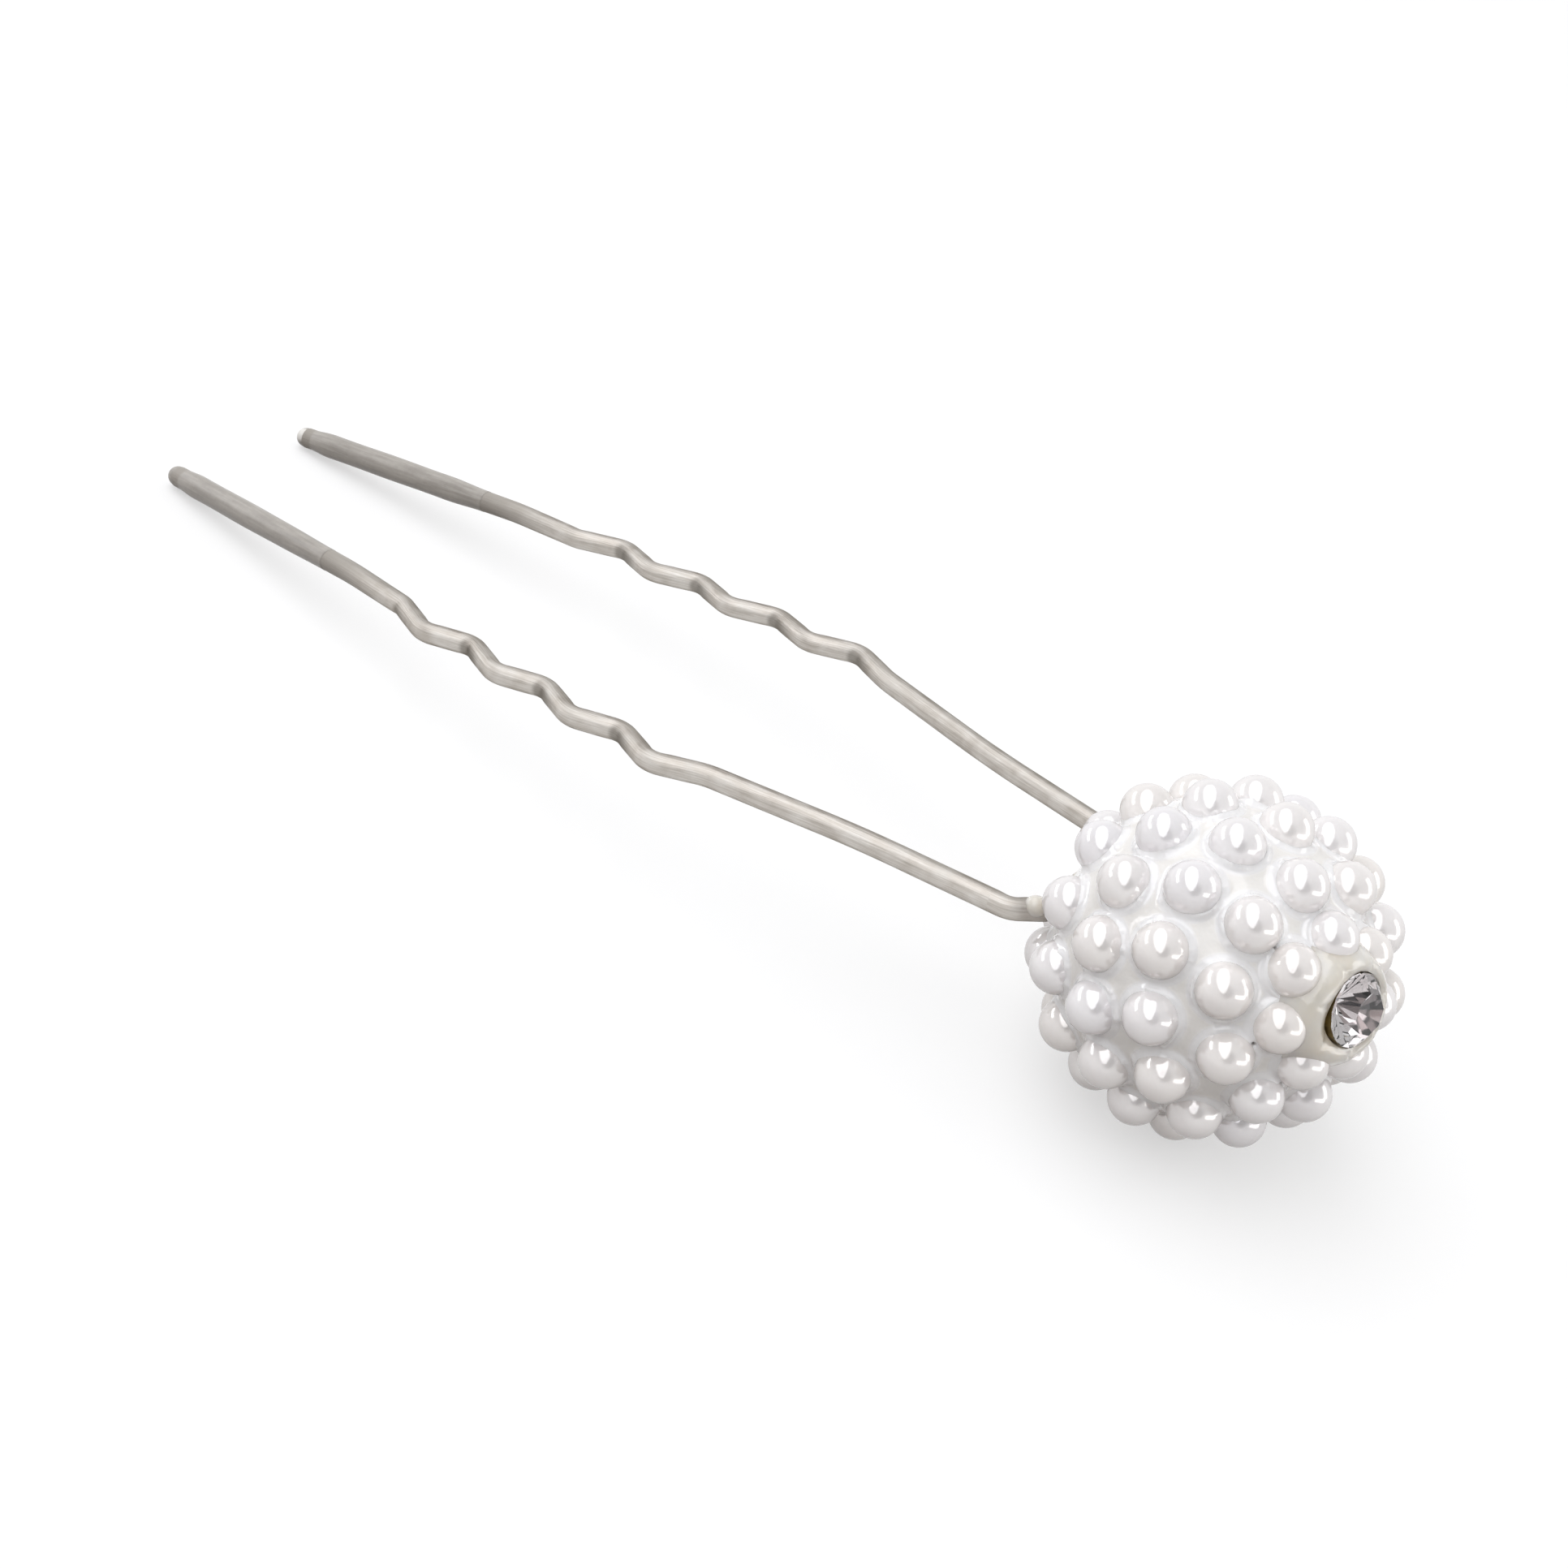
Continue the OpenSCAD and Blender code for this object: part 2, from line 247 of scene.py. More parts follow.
room = bpy.data.worlds.new("pale_room")
room.use_nodes = True
bpy.context.scene.world = room
sky_way = add_node(room, "TexCoord").outputs["Generated"]
view_back = (-view_ahead).tolist()
towards_camera = add_node(room, "VectorMath", {0: sky_way, 1: view_back}, operation="DOT_PRODUCT")
height = add_node(room, "SeparateXYZ", {0: sky_way}).outputs["Z"]
rising = fit_range(room, height, RISE_FROM, RISE_TO, ROOM_LOW, ROOM_HIGH)
dimming = fit_range(room, towards_camera.outputs["Value"], DIM_FROM, DIM_TO, 1.0, DIM_LEAST)
direct, seen = seen_rays(room)
sweep = fit_range(room, height, CEILING_FROM, CEILING_TO, 1.0, CEILING)
level = blend_values(room, seen, rising, sweep)
dimmed = combine(room, "MULTIPLY", level, dimming)
backdrop = room.node_tree.nodes["Background"]
backdrop.inputs["Color"].default_value = (1.0, 1.0, 1.0, 1.0)
join(room, blend_values(room, direct, dimmed, 1.0), backdrop, "Strength")
print("the room shines", ROOM_HIGH, "from above")

# %% [markdown]
# The floor is white paper, which takes the soft shadow under the pin. Looked at, also in a mirror, it is
# nearly pure white. The light that it throws back up at the ball is weaker and warmer, as if it were cream:
# this keeps the ball's underside a warm grey, and the Light Path node tells the two kinds of ray apart.
# Far from the pin, where the lamps no longer reach, the paper glows more and so meets the white room.

# %% The floor
FLOOR_HALF = 3.0
FLOOR_DROP = 0.00001
PAPER_BOUNCE, PAPER_SEEN = (0.13, 0.10, 0.08, 1.0), (0.5, 0.5, 0.5, 1.0)
GLOW_NEAR, GLOW_FAR, GLOW_FROM, GLOW_TO = 0.48, 1.0, 0.3, 1.0
corner_signs = np.array([[-1, -1, 0], [1, -1, 0], [1, 1, 0], [-1, 1, 0]], float)
floor_mesh = bpy.data.meshes.new("floor")
floor_points = corner_signs * FLOOR_HALF - [0.0, 0.0, FLOOR_DROP]
floor_mesh.from_pydata(floor_points.tolist(), [], [(0, 1, 2, 3)])
floor = add_object("floor", floor_mesh)

paper = bpy.data.materials.new("white_paper")
paper.use_nodes = True
looked_at = seen_rays(paper)[1]
paper_white = mingle(paper, looked_at, PAPER_BOUNCE, PAPER_SEEN)
paint = add_node(paper, "BsdfDiffuse", {"Color": paper_white})
glow = add_node(paper, "Emission", {"Color": (1.0, 1.0, 1.0, 1.0)})
spot = add_node(paper, "TexCoord").outputs["Object"]
away = add_node(paper, "VectorMath", {0: spot}, operation="LENGTH").outputs["Value"]
glow_there = fit_range(paper, away, GLOW_FROM, GLOW_TO, GLOW_NEAR, GLOW_FAR)
join(paper, combine(paper, "MULTIPLY", looked_at, glow_there), glow, "Strength")
both = add_node(paper, "AddShader", {0: paint.outputs[0], 1: glow.outputs[0]})
join(paper, both.outputs[0], paper.node_tree.nodes["Material Output"], "Surface")
floor_mesh.materials.append(paper)
print("floor is", 2 * FLOOR_HALF, "m wide")

# %% [markdown]
# Every piece of this pin is round in some way: wire, pearls, coats, beads of glue.
# So one helper skins rings of points: ring after ring, closed round, with a point at each end if it has one.
# Rings that turn left about the way they advance give faces that point outwards.

# %% Skins made of rings
def angles_round(count):
    """Angles evenly spaced round a circle, from 0 on."""
    return np.linspace(0.0, 2 * np.pi, count, endpoint=False)


def skin_rings(rings, start=None, end=None, loop=False):
    """Points and faces of shapes made of rings: rings[k, i, j] is point j on ring i of shape k.

    Each face joins points j and j + 1 of ring i to the same points of ring i + 1. start and end are one
    closing point per shape, and loop joins the last ring back to the first."""
    shapes, ring_count, sides = rings.shape[:3]
    here = np.arange(shapes * ring_count * sides).reshape(shapes, ring_count, sides)
    if loop:
        here = np.concatenate([here, here[:, :1]], axis=1)
    beside = np.roll(here, -1, axis=2)
    quads = np.stack([here[:, :-1], beside[:, :-1], beside[:, 1:], here[:, 1:]], axis=-1)
    faces = quads.reshape(-1, 4).tolist()
    points = [rings.reshape(-1, 3)]
    for closing, ring, order in ((start, 0, -1), (end, -1, 1)):
        if closing is not None:
            number = sum(map(len, points)) + np.arange(shapes)[:, None] + 0 * here[:, ring]
            pair = [here[:, ring], beside[:, ring]][::order]
            faces += np.stack([number, *pair], axis=-1).reshape(-1, 3).tolist()
            points.append(np.asarray(closing, float).reshape(shapes, 3))
    return np.concatenate(points), faces


def make_piece(name, points, faces, sharp_angle=None):
    """A smooth object from points in pin millimetres. Edges folded by more than sharp_angle stay crisp."""
    mesh = bpy.data.meshes.new(name)
    mesh.from_pydata(from_pin(points).tolist(), [], faces)
    mesh.shade_smooth()
    if sharp_angle is not None:
        mesh.set_sharp_from_angle(angle=np.radians(sharp_angle))
    return add_object(name, mesh)


def note_points(piece, name, values, fill=0.0):
    """Keeps a number or a vector for each point, for the finish to read. Closing points get fill."""
    values = np.asarray(values, float)
    wide = 3 if values.shape[-1] == 3 else 1
    values = values.reshape(-1, wide)
    missing = len(piece.data.vertices) - len(values)
    values = np.vstack([values, np.full((missing, wide), fill)])
    kind, field = ("FLOAT_VECTOR", "vector") if wide == 3 else ("FLOAT", "value")
    layer = piece.data.attributes.new(name, kind, "POINT")
    layer.data.foreach_set(field, values.astype(np.float32).ravel())


def settle(piece, finish, slot, body, *nodes):
    """Gives a piece its finish, body and the nodes it stands for; slot is not used. A piece that bends has
    no body.
    """
    piece.data.materials.append(finish)
    if body:
        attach(piece, body)
    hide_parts(*nodes)
    print(piece.name, "has", len(piece.data.polygons), "faces")


print("helpers ready")

# %% [markdown]
# The pin is one hard-drawn wire, bent into a U and crimped so that hair can't slide out.
# A wire is a circle carried along a path. The path runs straight from corner to corner, and each corner is
# rounded by an arc, as the bending tool's pin rounds it. Drawing it as a curve object would give no control
# over the dents, so the rings are worked out here.

# %% The wire's path
WIRE_R = 0.65
PIN_LIFT = 0.6
ARCH = 0.8
CROSS_X, CORNER_X, KNEE_X, WAVE_X, TIP_X = -8.0, -9.6, -28.12, -53.2, -77.0
SHOULDER_Y, CORNER_Y, KNEE_Y, TIP_Y = 3.75, 5.4, 8.6, 5.65
WAVE_BENDS, WAVE_STEP, WAVE_DEPTH = 8, 3.135, 1.2
WAVE_FIRST_Y, WAVE_LAST_Y = 8.45, 9.55
SAG, HEEL_SHARE, HEEL_LIFT = 0.4, 18.8 / 23.8, 0.25
WAVE_R, KNEE_R, CORNER_R, SAG_R, HEEL_R = 1.7, 6.0, 1.6, 60.0, 30.0
STUB, SLIT = 0.5, 0.08
ARC_STEPS, LEG_STEP, BEND_STEP = 24, 0.15, 0.1

wave = np.arange(WAVE_BENDS)[::-1]
wave_y = WAVE_FIRST_Y + (WAVE_LAST_Y - WAVE_FIRST_Y) * wave / WAVE_BENDS
wave_y = wave_y + WAVE_DEPTH / 2 * np.where(wave % 2, 1, -1)
wave_z = np.full(WAVE_BENDS, PIN_LIFT + ARCH)
waves = np.stack([WAVE_X + wave * WAVE_STEP, wave_y, wave_z], axis=1)
shoulder = np.array([CROSS_X, SHOULDER_Y, PIN_LIFT])
corner = np.array([CORNER_X, CORNER_Y, PIN_LIFT])
knee = np.array([KNEE_X, KNEE_Y, PIN_LIFT + ARCH])
sag = (corner + knee) / 2 - [0.0, SAG, 0.0]
tip = np.array([TIP_X, TIP_Y, PIN_LIFT])
heel = tip + (waves[-1] - tip) * HEEL_SHARE + [0.0, 0.0, HEEL_LIFT]
root_way = unit(sag - corner)
corner_run = CORNER_R * np.tan(np.arccos(unit(corner - shoulder) @ root_way) / 2)
slit_point = corner + (corner_run + STUB + SLIT / 2) * root_way
MIRROR = np.array([1.0, -1.0, 1.0])


def rounded_path(corners, radii, step):
    """Points a step apart along straight runs joined by arcs.

    An arc turns from heading u to heading w: centre + r (sin q u - cos q inward), from q = 0 to the turn,
    and starts r tan(turn / 2) before its corner."""
    before = unit(corners[1:-1] - corners[:-2])
    after = unit(corners[2:] - corners[1:-1])
    bend = (before * after).sum(axis=1, keepdims=True)
    turn = np.arccos(np.clip(bend, -1.0, 1.0))
    inward = unit(after - bend * before)
    radii = np.asarray(radii, float)[:, None]
    centre = corners[1:-1] + radii * (inward - np.tan(turn / 2) * before)
    q = (turn * np.linspace(0.0, 1.0, ARC_STEPS))[..., None]
    arcs = np.sin(q) * before[:, None] - np.cos(q) * inward[:, None]
    arcs = centre[:, None] + radii[..., None] * arcs
    path = np.vstack([corners[:1], arcs.reshape(-1, 3), corners[-1:]])
    run = np.concatenate([[0.0], np.cumsum(np.linalg.norm(np.diff(path, axis=0), axis=1))])
    even = np.linspace(0.0, run[-1], int(run[-1] / step) + 1)
    return np.stack([np.interp(even, run, path[:, axis]) for axis in range(3)], axis=1)


leg_corners = np.vstack([slit_point, sag, knee, waves, heel, tip])
leg_path = rounded_path(leg_corners, [SAG_R, KNEE_R] + [WAVE_R] * WAVE_BENDS + [HEEL_R], LEG_STEP)
half_bend = np.vstack([shoulder, corner, slit_point])
bend_corners = np.vstack([(half_bend * MIRROR)[::-1], half_bend])
bend_path = rounded_path(bend_corners, [CORNER_R] * 4, BEND_STEP)
print("leg is", round(LEG_STEP * len(leg_path), 1), "mm long, in", len(leg_path), "rings")

# %% [markdown]
# Where the tool crimped the wire, its inner side is dented a little.
# The path's own curvature says where that is: it is strongest in the bends and points to their inner side.
# The same number shapes the dent. It is kept on the points too, drawn out along the wire towards the ball,
# so that the finish can paint shade there: the darker streak along the bends is painted shade.

# %% The wire's rings
WIRE_SIDES = 32
DENT, DENT_BLUR = 0.09, 9
SHADE_RUN = 18
FILM_FADE, FILM_T = 9.0, 0.06


def wire_frame(path):
    """Heading, side and upper direction of each ring. Side lies in the pin's plane, up leaves it."""
    heading = unit(np.gradient(path, axis=0))
    side = unit(np.cross([0.0, 0.0, 1.0], heading))
    return heading, side, np.cross(heading, side)


def smooth_along(values, width):
    """Evens out rows by averaging them over a width of rows, with the ends held."""
    kernel = np.hanning(width + 2)[1:-1]
    kernel /= kernel.sum()
    padded = np.pad(values, ((width // 2, width // 2), (0, 0)), mode="edge")
    return np.stack([np.convolve(column, kernel, mode="valid") for column in padded.T], axis=1)


def wire_rings(path, radius):
    """Rings of the wire: path + r (cos a side + sin a up), where r is less by DENT times the inner bend."""
    heading, side, up = wire_frame(path)
    a = angles_round(WIRE_SIDES)[None, :, None]
    outward = np.cos(a) * side[:, None] + np.sin(a) * up[:, None]
    step = np.linalg.norm(path[1] - path[0])
    curving = smooth_along(np.gradient(heading, axis=0) / step, DENT_BLUR)
    crease_and_shade = np.clip(np.einsum("ik,ijk->ij", curving, outward) * WAVE_R, 0.0, 1.0)
    rings = path[:, None] + (radius * (1 - DENT * crease_and_shade))[..., None] * outward
    place = np.stack(np.broadcast_arrays(
        (np.arange(len(path)) * step)[:, None], np.cos(a)[..., 0], np.sin(a)[..., 0]
    ), axis=-1)
    return rings, crease_and_shade, place


def shade_drawn_out(crease_and_shade):
    """The crease drawn out towards the root, for the painted shade along the wire.

    Each point takes the most of the SHADE_RUN rings from its own on, ring k times 1 - (k / SHADE_RUN)^2."""
    later = [np.roll(crease_and_shade, -k, axis=0) * (1 - (k / SHADE_RUN) ** 2) for k in range(SHADE_RUN)]
    return np.max(later, axis=0)


def make_wire(name, path, film_end=0.0):
    """A wire piece along a path. Its points keep their crease with its painted shade, their place along and
    round the wire, and how much grey film is on them: all near the tip, thinning out over FILM_FADE before
    film_end."""
    to_tip = np.linalg.norm(path[1] - path[0]) * np.arange(len(path))[::-1, None]
    film = np.clip((film_end - to_tip) / FILM_FADE, 0.0, 1.0)
    rings, crease_and_shade, place = wire_rings(path, WIRE_R + FILM_T * film)
    skin = skin_rings(rings[None], start=path[:1], end=path[-1:])
    piece = make_piece(name, *skin, sharp_angle=50)
    note_points(piece, "crease_and_shade", shade_drawn_out(crease_and_shade))
    note_points(piece, "film", np.broadcast_to(film, crease_and_shade.shape))
    note_points(piece, "wire_place", place)
    return piece


print("deepest dent", DENT * WIRE_R, "mm")

# %% [markdown]
# The wire is plated a warm silver and rubbed satin by handling. Drawing it through a die left fine lines
# along it. The noise that makes them reads the point's own place along and round the wire,
# squeezed lengthways, so the lines follow every bend. A dark tint on the shader's grazing reflection
# draws the wire's edges. In the bends a painted shade darkens the colour. Towards the tip a grey film covers
# the metal.

# %% The wire's finish
def new_finish(name, **constants):
    """A material with these constants set on its shader's own sockets, and the shader."""
    finish = bpy.data.materials.new(name)
    finish.use_nodes = True
    shader = finish.node_tree.nodes["Principled BSDF"]
    for socket, value in constants.items():
        shader.inputs[socket.replace("_", " ")].default_value = value
    return finish, shader


def cloud(finish, scale, detail=3.0, place=None):
    """A soft pattern round 0.5, on the piece's own coordinates in metres or on another place."""
    if place is None:
        place = add_node(finish, "TexCoord").outputs["Object"]
    return add_node(finish, "TexNoise", {"Vector": place, "Scale": scale, "Detail": detail}).outputs["Fac"]


def tone(finish, factor, *stops):
    """Colours for a factor: each stop is a position and a colour."""
    ramp = add_node(finish, "ValToRGB", {"Fac": factor})
    bands = ramp.color_ramp.elements
    while len(bands) < len(stops):
        bands.new(0.5)
    for band, (position, colour) in zip(bands, stops):
        band.position = position
        band.color = (*colour, 1.0)
    return ramp.outputs["Color"]


def noted(finish, name, output="Fac"):
    """What a piece keeps on its points under a name."""
    return add_node(finish, "Attribute", attribute_name=name).outputs[output]


def emboss(finish, shader, height, depth, strength=1.0):
    """Roughens the surface by a height pattern, depth metres deep."""
    inputs = {"Height": height, "Distance": depth, "Strength": strength}
    join(finish, add_node(finish, "Bump", inputs).outputs["Normal"], shader, "Normal")


silver, shader = new_finish("satin_silver_wire", Specular_Tint=(0.3, 0.285, 0.27, 1.0))
wire_spot = noted(silver, "wire_place", "Vector")
stretched = add_node(silver, "Mapping", {"Vector": wire_spot, "Scale": (0.05, 1.0, 1.0)})
drawn = cloud(silver, 9.0, 4.0, stretched.outputs["Vector"])
patch = cloud(silver, 900.0, 4.0)
plate = tone(
    silver, patch,
    (0.3, (0.50, 0.466, 0.427)), (0.5, (0.585, 0.554, 0.517)), (0.72, (0.66, 0.636, 0.602)),
)
scored = tone(silver, drawn, (0.35, (0.62, 0.59, 0.55)), (0.65, (1.0, 1.0, 1.0)))
lined = mingle(silver, 0.6, plate, scored, "MULTIPLY")
# Painted shade: the inner side of each bend, drawn out towards the ball, is darkened in colour.
painted_crease_shade = fit_range(silver, noted(silver, "crease_and_shade"), 0.3, 0.9, 0.0, 0.66)
crease_shaded = mingle(silver, painted_crease_shade, lined, (0.16, 0.145, 0.125, 1.0))
film = fit_range(silver, noted(silver, "film"), 0.0, 1.0, 0.0, 1.0)
filmed = mingle(silver, film, crease_shaded, (0.36, 0.333, 0.30, 1.0))
join(silver, filmed, shader, "Base Color")
join(silver, fit_range(silver, film, 0.0, 1.0, 1.0, 0.0), shader, "Metallic")
join(silver, fit_range(silver, patch, 0.3, 0.7, 0.36, 0.5), shader, "Roughness")
emboss(silver, shader, drawn, 0.00006, 0.5)
print("finish", silver.name)

# %% [markdown]
# The legs spring apart. In the frame each leg turns on a hinge at its root, a stand-in for the bending of
# the whole wire. Here each leg is a wire piece of its own, set in place without a body.

# %% The bend and the legs
LEFT_FILM, RIGHT_FILM = 24.0, 24.5
bend = make_wire("cross_wire", bend_path)
settle(bend, silver, "wire", "ball_head", "pin_bend")
for side_name, flip, film_end in (("left", np.ones(3), LEFT_FILM), ("right", MIRROR, RIGHT_FILM)):
    leg = make_wire(side_name + "_crimped_leg", leg_path * flip, film_end)
    settle(leg, silver, "wire", None, side_name + "_leg")
    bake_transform(leg)

# %% [markdown]
# The tips are dipped in a grey lacquer so that they don't scratch. A dipped coat is thickest near the end,
# round at the tip, and thins out in a soft lip where it was drawn from the pot.
# It is a round profile carried along the straight end of the wire, a little uneven all round.

# %% The dipped tips
TIP_R, CAP_R, SWELL_LENGTH = 0.85, 0.68, 2.4
CAP_FROM, BODY_FROM = 6.0, 0.15
CAP_ROWS, BODY_ROWS, TIP_SIDES = 14, 110, 40
SLOW_DEPTH, SLOW_PACE, SLOW_START, UNEVEN, SOFT_LIP = 0.01, 0.83, 3.0, 0.012, 0.01
SPOT_BACK, SPOT_TURN, SPOT_R, SPOT_EDGE = -0.25, np.radians(140.0), 0.62, 0.2
tip_way = unit(tip - heel)


def tip_profile(thick, length, feather):
    """Distance back from the tip's middle, and radius: a round cap, a long body and a thin feathered end.

    The radius is CAP_R on the cap, swells to a thick share of TIP_R by half a cosine, drops by a slow wave
    of up to 2 hundredths, and from a length on falls to the wire by half a cosine over the feather."""
    cap = np.radians(np.linspace(CAP_FROM, 90.0, CAP_ROWS))
    body = np.linspace(BODY_FROM, length + feather, BODY_ROWS)
    swell = 0.5 - 0.5 * np.cos(np.pi * np.clip(body / SWELL_LENGTH, 0, 1))
    slow = SLOW_DEPTH * (1 - np.cos(body * SLOW_PACE)) * np.clip(body / SLOW_START, 0, 1)
    fade = np.clip((body - length) / feather, 0, 1)
    radius = CAP_R + (TIP_R * thick - CAP_R) * swell - slow
    radius += (WIRE_R + FILM_T + SOFT_LIP - radius) * (0.5 - 0.5 * np.cos(np.pi * fade))
    cap_back = CAP_R - TIP_R - CAP_R * np.cos(cap)
    return np.concatenate([cap_back, body]), np.concatenate([CAP_R * np.sin(cap), radius])


def make_tip(name, flip, thick, length, feather, seed, pale_spot):
    """A dipped tip on one leg: rings of the profile about the wire, less an unevenness of 1 hundredth.

    A pale spot lies on the end: it is 1 up to SPOT_R - SPOT_EDGE from its middle and fades out by SPOT_R."""
    back, radius = (column[:, None] for column in tip_profile(thick, length, feather))
    path = (tip - back * tip_way) * flip
    side = unit(np.cross([0.0, 0.0, 1.0], -tip_way * flip))
    up = np.cross(-tip_way * flip, side)
    a = angles_round(TIP_SIDES)[None]
    uneven = 0.5 + 0.25 * (np.sin(2 * a + seed + back) + np.sin(3 * a - 0.6 * back + 2 * seed))
    r = np.minimum(radius * (1 - UNEVEN * uneven), TIP_R)
    rings = path[:, None] + r[..., None] * (np.cos(a)[..., None] * side + np.sin(a)[..., None] * up)
    start = (tip + TIP_R * tip_way) * flip
    piece = make_piece(name, *skin_rings(rings[None], start=start, end=path[-1:]))
    place = np.stack(np.broadcast_arrays(back, np.cos(a), np.sin(a)), axis=-1)
    note_points(piece, "tip_place", place, fill=-0.8)
    off_spot = np.sqrt((back - SPOT_BACK) ** 2 + 2 * radius ** 2 * (1 - np.cos(a - SPOT_TURN)))
    note_points(piece, "pale_spot", pale_spot * np.clip((SPOT_R - off_spot) / SPOT_EDGE, 0.0, 1.0))
    return piece


lacquer, shader = new_finish("grey_dip_lacquer", Coat_Weight=0.25, Coat_Roughness=0.25)
tip_spot = noted(lacquer, "tip_place", "Vector")
streaked = add_node(lacquer, "Mapping", {"Vector": tip_spot, "Scale": (0.12, 1.0, 1.0)}).outputs["Vector"]
streak = cloud(lacquer, 3.5, 4.0, streaked)
grain = cloud(lacquer, 2600.0, 2.0)
dipped = tone(
    lacquer, streak,
    (0.3, (0.295, 0.272, 0.246)), (0.5, (0.365, 0.338, 0.307)), (0.7, (0.445, 0.418, 0.383)),
)
speckle = tone(lacquer, grain, (0.3, (0.72, 0.71, 0.69)), (0.7, (1.0, 1.0, 1.0)))
grained = mingle(lacquer, 0.3, dipped, speckle, "MULTIPLY")
# A pale spot on the end of the left tip lightens the colour.
pale_spotted = mingle(lacquer, noted(lacquer, "pale_spot"), grained, (0.88, 0.86, 0.82, 1.0))
join(lacquer, pale_spotted, shader, "Base Color")
join(lacquer, fit_range(lacquer, streak, 0.3, 0.7, 0.34, 0.5), shader, "Roughness")
emboss(lacquer, shader, grain, 0.00003, 0.5)
left_dip = make_tip("left_dipped_tip", np.ones(3), thick=1.0, length=12.6, feather=3.6, seed=0.4, pale_spot=0.8)
settle(left_dip, lacquer, "tip_coat", "left_prong", "left_tip_coat")
right_dip = make_tip("right_dipped_tip", MIRROR, thick=0.97, length=10.0, feather=6.5, seed=1.7, pale_spot=0.0)
settle(right_dip, lacquer, "tip_coat", "right_prong", "right_tip_coat")

# %% [markdown]
# The ball is a plastic bead with a hole. Pearls are glued on in rings round that hole, so the rings share
# its axis. This cell finds each pearl's place and width. A few are left off at the back, for the wire.

# %% Where the pearls sit
BORE_TURN, BORE_RISE = np.radians([-18.0, 17.5])
COAT_R, BALL_R, SOLID_ORBIT = 8.45, 9.99, 8.65
PEARL_MOST, PEARL_LEAST, PEARL_APART = 1.47, 1.36, 0.03
RING_POLAR = (22.5, 42.0, 65.5, 89.0, 115.0, 136.0, 158.0)
RING_COUNT = (7, 10, 14, 16, 14, 10, 7)
RING_PHASE = (21.0, 2.5, 14.0, 3.0, 10.0, 18.0, 0.0)
BOW_KEEP_OUT = 2.32
bow_line = np.vstack([knee, corner, shoulder, shoulder * MIRROR, corner * MIRROR, knee * MIRROR])
turn_x, turn_y = np.cos(BORE_TURN), np.sin(BORE_TURN)
level_share, rise_share = np.cos(BORE_RISE), np.sin(BORE_RISE)
hole_axes = np.array([
    [rise_share * turn_x, rise_share * turn_y, -level_share],
    [-turn_y, turn_x, 0.0],
    [level_share * turn_x, level_share * turn_y, rise_share],
])


def to_bow(points):
    """Distance from points to the wire near the ball: its runs are a + t (b - a), with t from 0 to 1."""
    start, run = bow_line[:-1], np.diff(bow_line, axis=0)
    t = ((points[:, None] - start) * run).sum(axis=-1) / (run * run).sum(axis=-1)
    nearest_on_run = start + np.clip(t, 0.0, 1.0)[..., None] * run
    return np.linalg.norm(points[:, None] - nearest_on_run, axis=-1).min(axis=-1)


def ring_ways(polar, count, phase):
    """Directions of a ring's pearls from the ball's middle: evenly spaced at one angle from the hole."""
    p = np.radians(polar)
    t = np.radians(phase + 360.0 * np.arange(count) / count)
    on_hole = np.stack([np.sin(p) * np.cos(t), np.sin(p) * np.sin(t), np.full(count, np.cos(p))], axis=1)
    ways = on_hole @ hole_axes
    return ways[to_bow(SOLID_ORBIT * ways) > BOW_KEEP_OUT]


rings_of_ways = [ring_ways(*ring) for ring in zip(RING_POLAR, RING_COUNT, RING_PHASE)]
pearl_ways = np.concatenate(rings_of_ways)
gaps = np.linalg.norm(pearl_ways[:, None] - pearl_ways, axis=-1) + 2 * np.eye(len(pearl_ways))
pearl_r = np.clip((SOLID_ORBIT * gaps.min(axis=1) - PEARL_APART) / 2, PEARL_LEAST, PEARL_MOST)
print("pearls in each ring", [len(ways) for ways in rings_of_ways], "in all", len(pearl_ways))
pearl_widths = (2 * pearl_r).round(2)
print("pearls are", pearl_widths.min(), "to", pearl_widths.max(), "mm wide with their lacquer")

# %% [markdown]
# Between the pearls lies a glossy white lacquer. It creeps up every pearl in a small collar, fills the
# narrow gaps, and leaves flat bare spots where pearls stand far apart. Small drops of it sit beside the
# pearls, and air left pinholes where two of them come close. As a height over the sphere this is simple to
# write: one collar per pearl, added up so that close ones merge.

# %% The lacquer between the pearls
COLLAR, COLLAR_REACH, COLLAR_FOOT, COLLAR_TOP = 0.34, 0.3, 1.28, 0.5
LIP, LIP_AT, LIP_WIDE, LIP_WANDER = 0.09, 1.52, 0.09, 0.06
LIP_MEAN, LIP_SWING, LIP_MOST = 0.5, 0.9, 2.0
CREEP, CREEP_FOOT, CREEP_REACH = 0.06, 1.33, 0.15
SWELL, SWELL_MOST = 0.25, 1.5
SWELL_RIPPLE, WANDER_RIPPLE, BREAK_RIPPLE = (2.6, 3), (3.0, 4), (2.2, 5)
BARE_FROM, BARE_OVER = 1.72, 0.22
PINHOLE_SPAN, PINHOLE_SHARE, PINHOLE_R, PINHOLE_DEPTH = 3.05, 0.55, 0.13, 0.22
DROP_TRIES, DROP_MOST, DROP_BESIDE, DROP_R, DROP_RISE = 2600, 170, (1.4, 1.75), (0.11, 0.26), 0.5
COAT_ROWS, COAT_COLUMNS, UNDER_ROWS, CROWDING = 296, 320, 10, 0.5
HOLE_R, CORE_R = 1.1, 8.1
MOUTH = np.arcsin(HOLE_R / COAT_R)
rng = np.random.default_rng(20)


def arc_to(ways, others):
    """Distance along the coat, in millimetres, between directions and a list of other directions."""
    return COAT_R * np.arccos(np.clip(ways @ others.T, -1.0, 1.0))


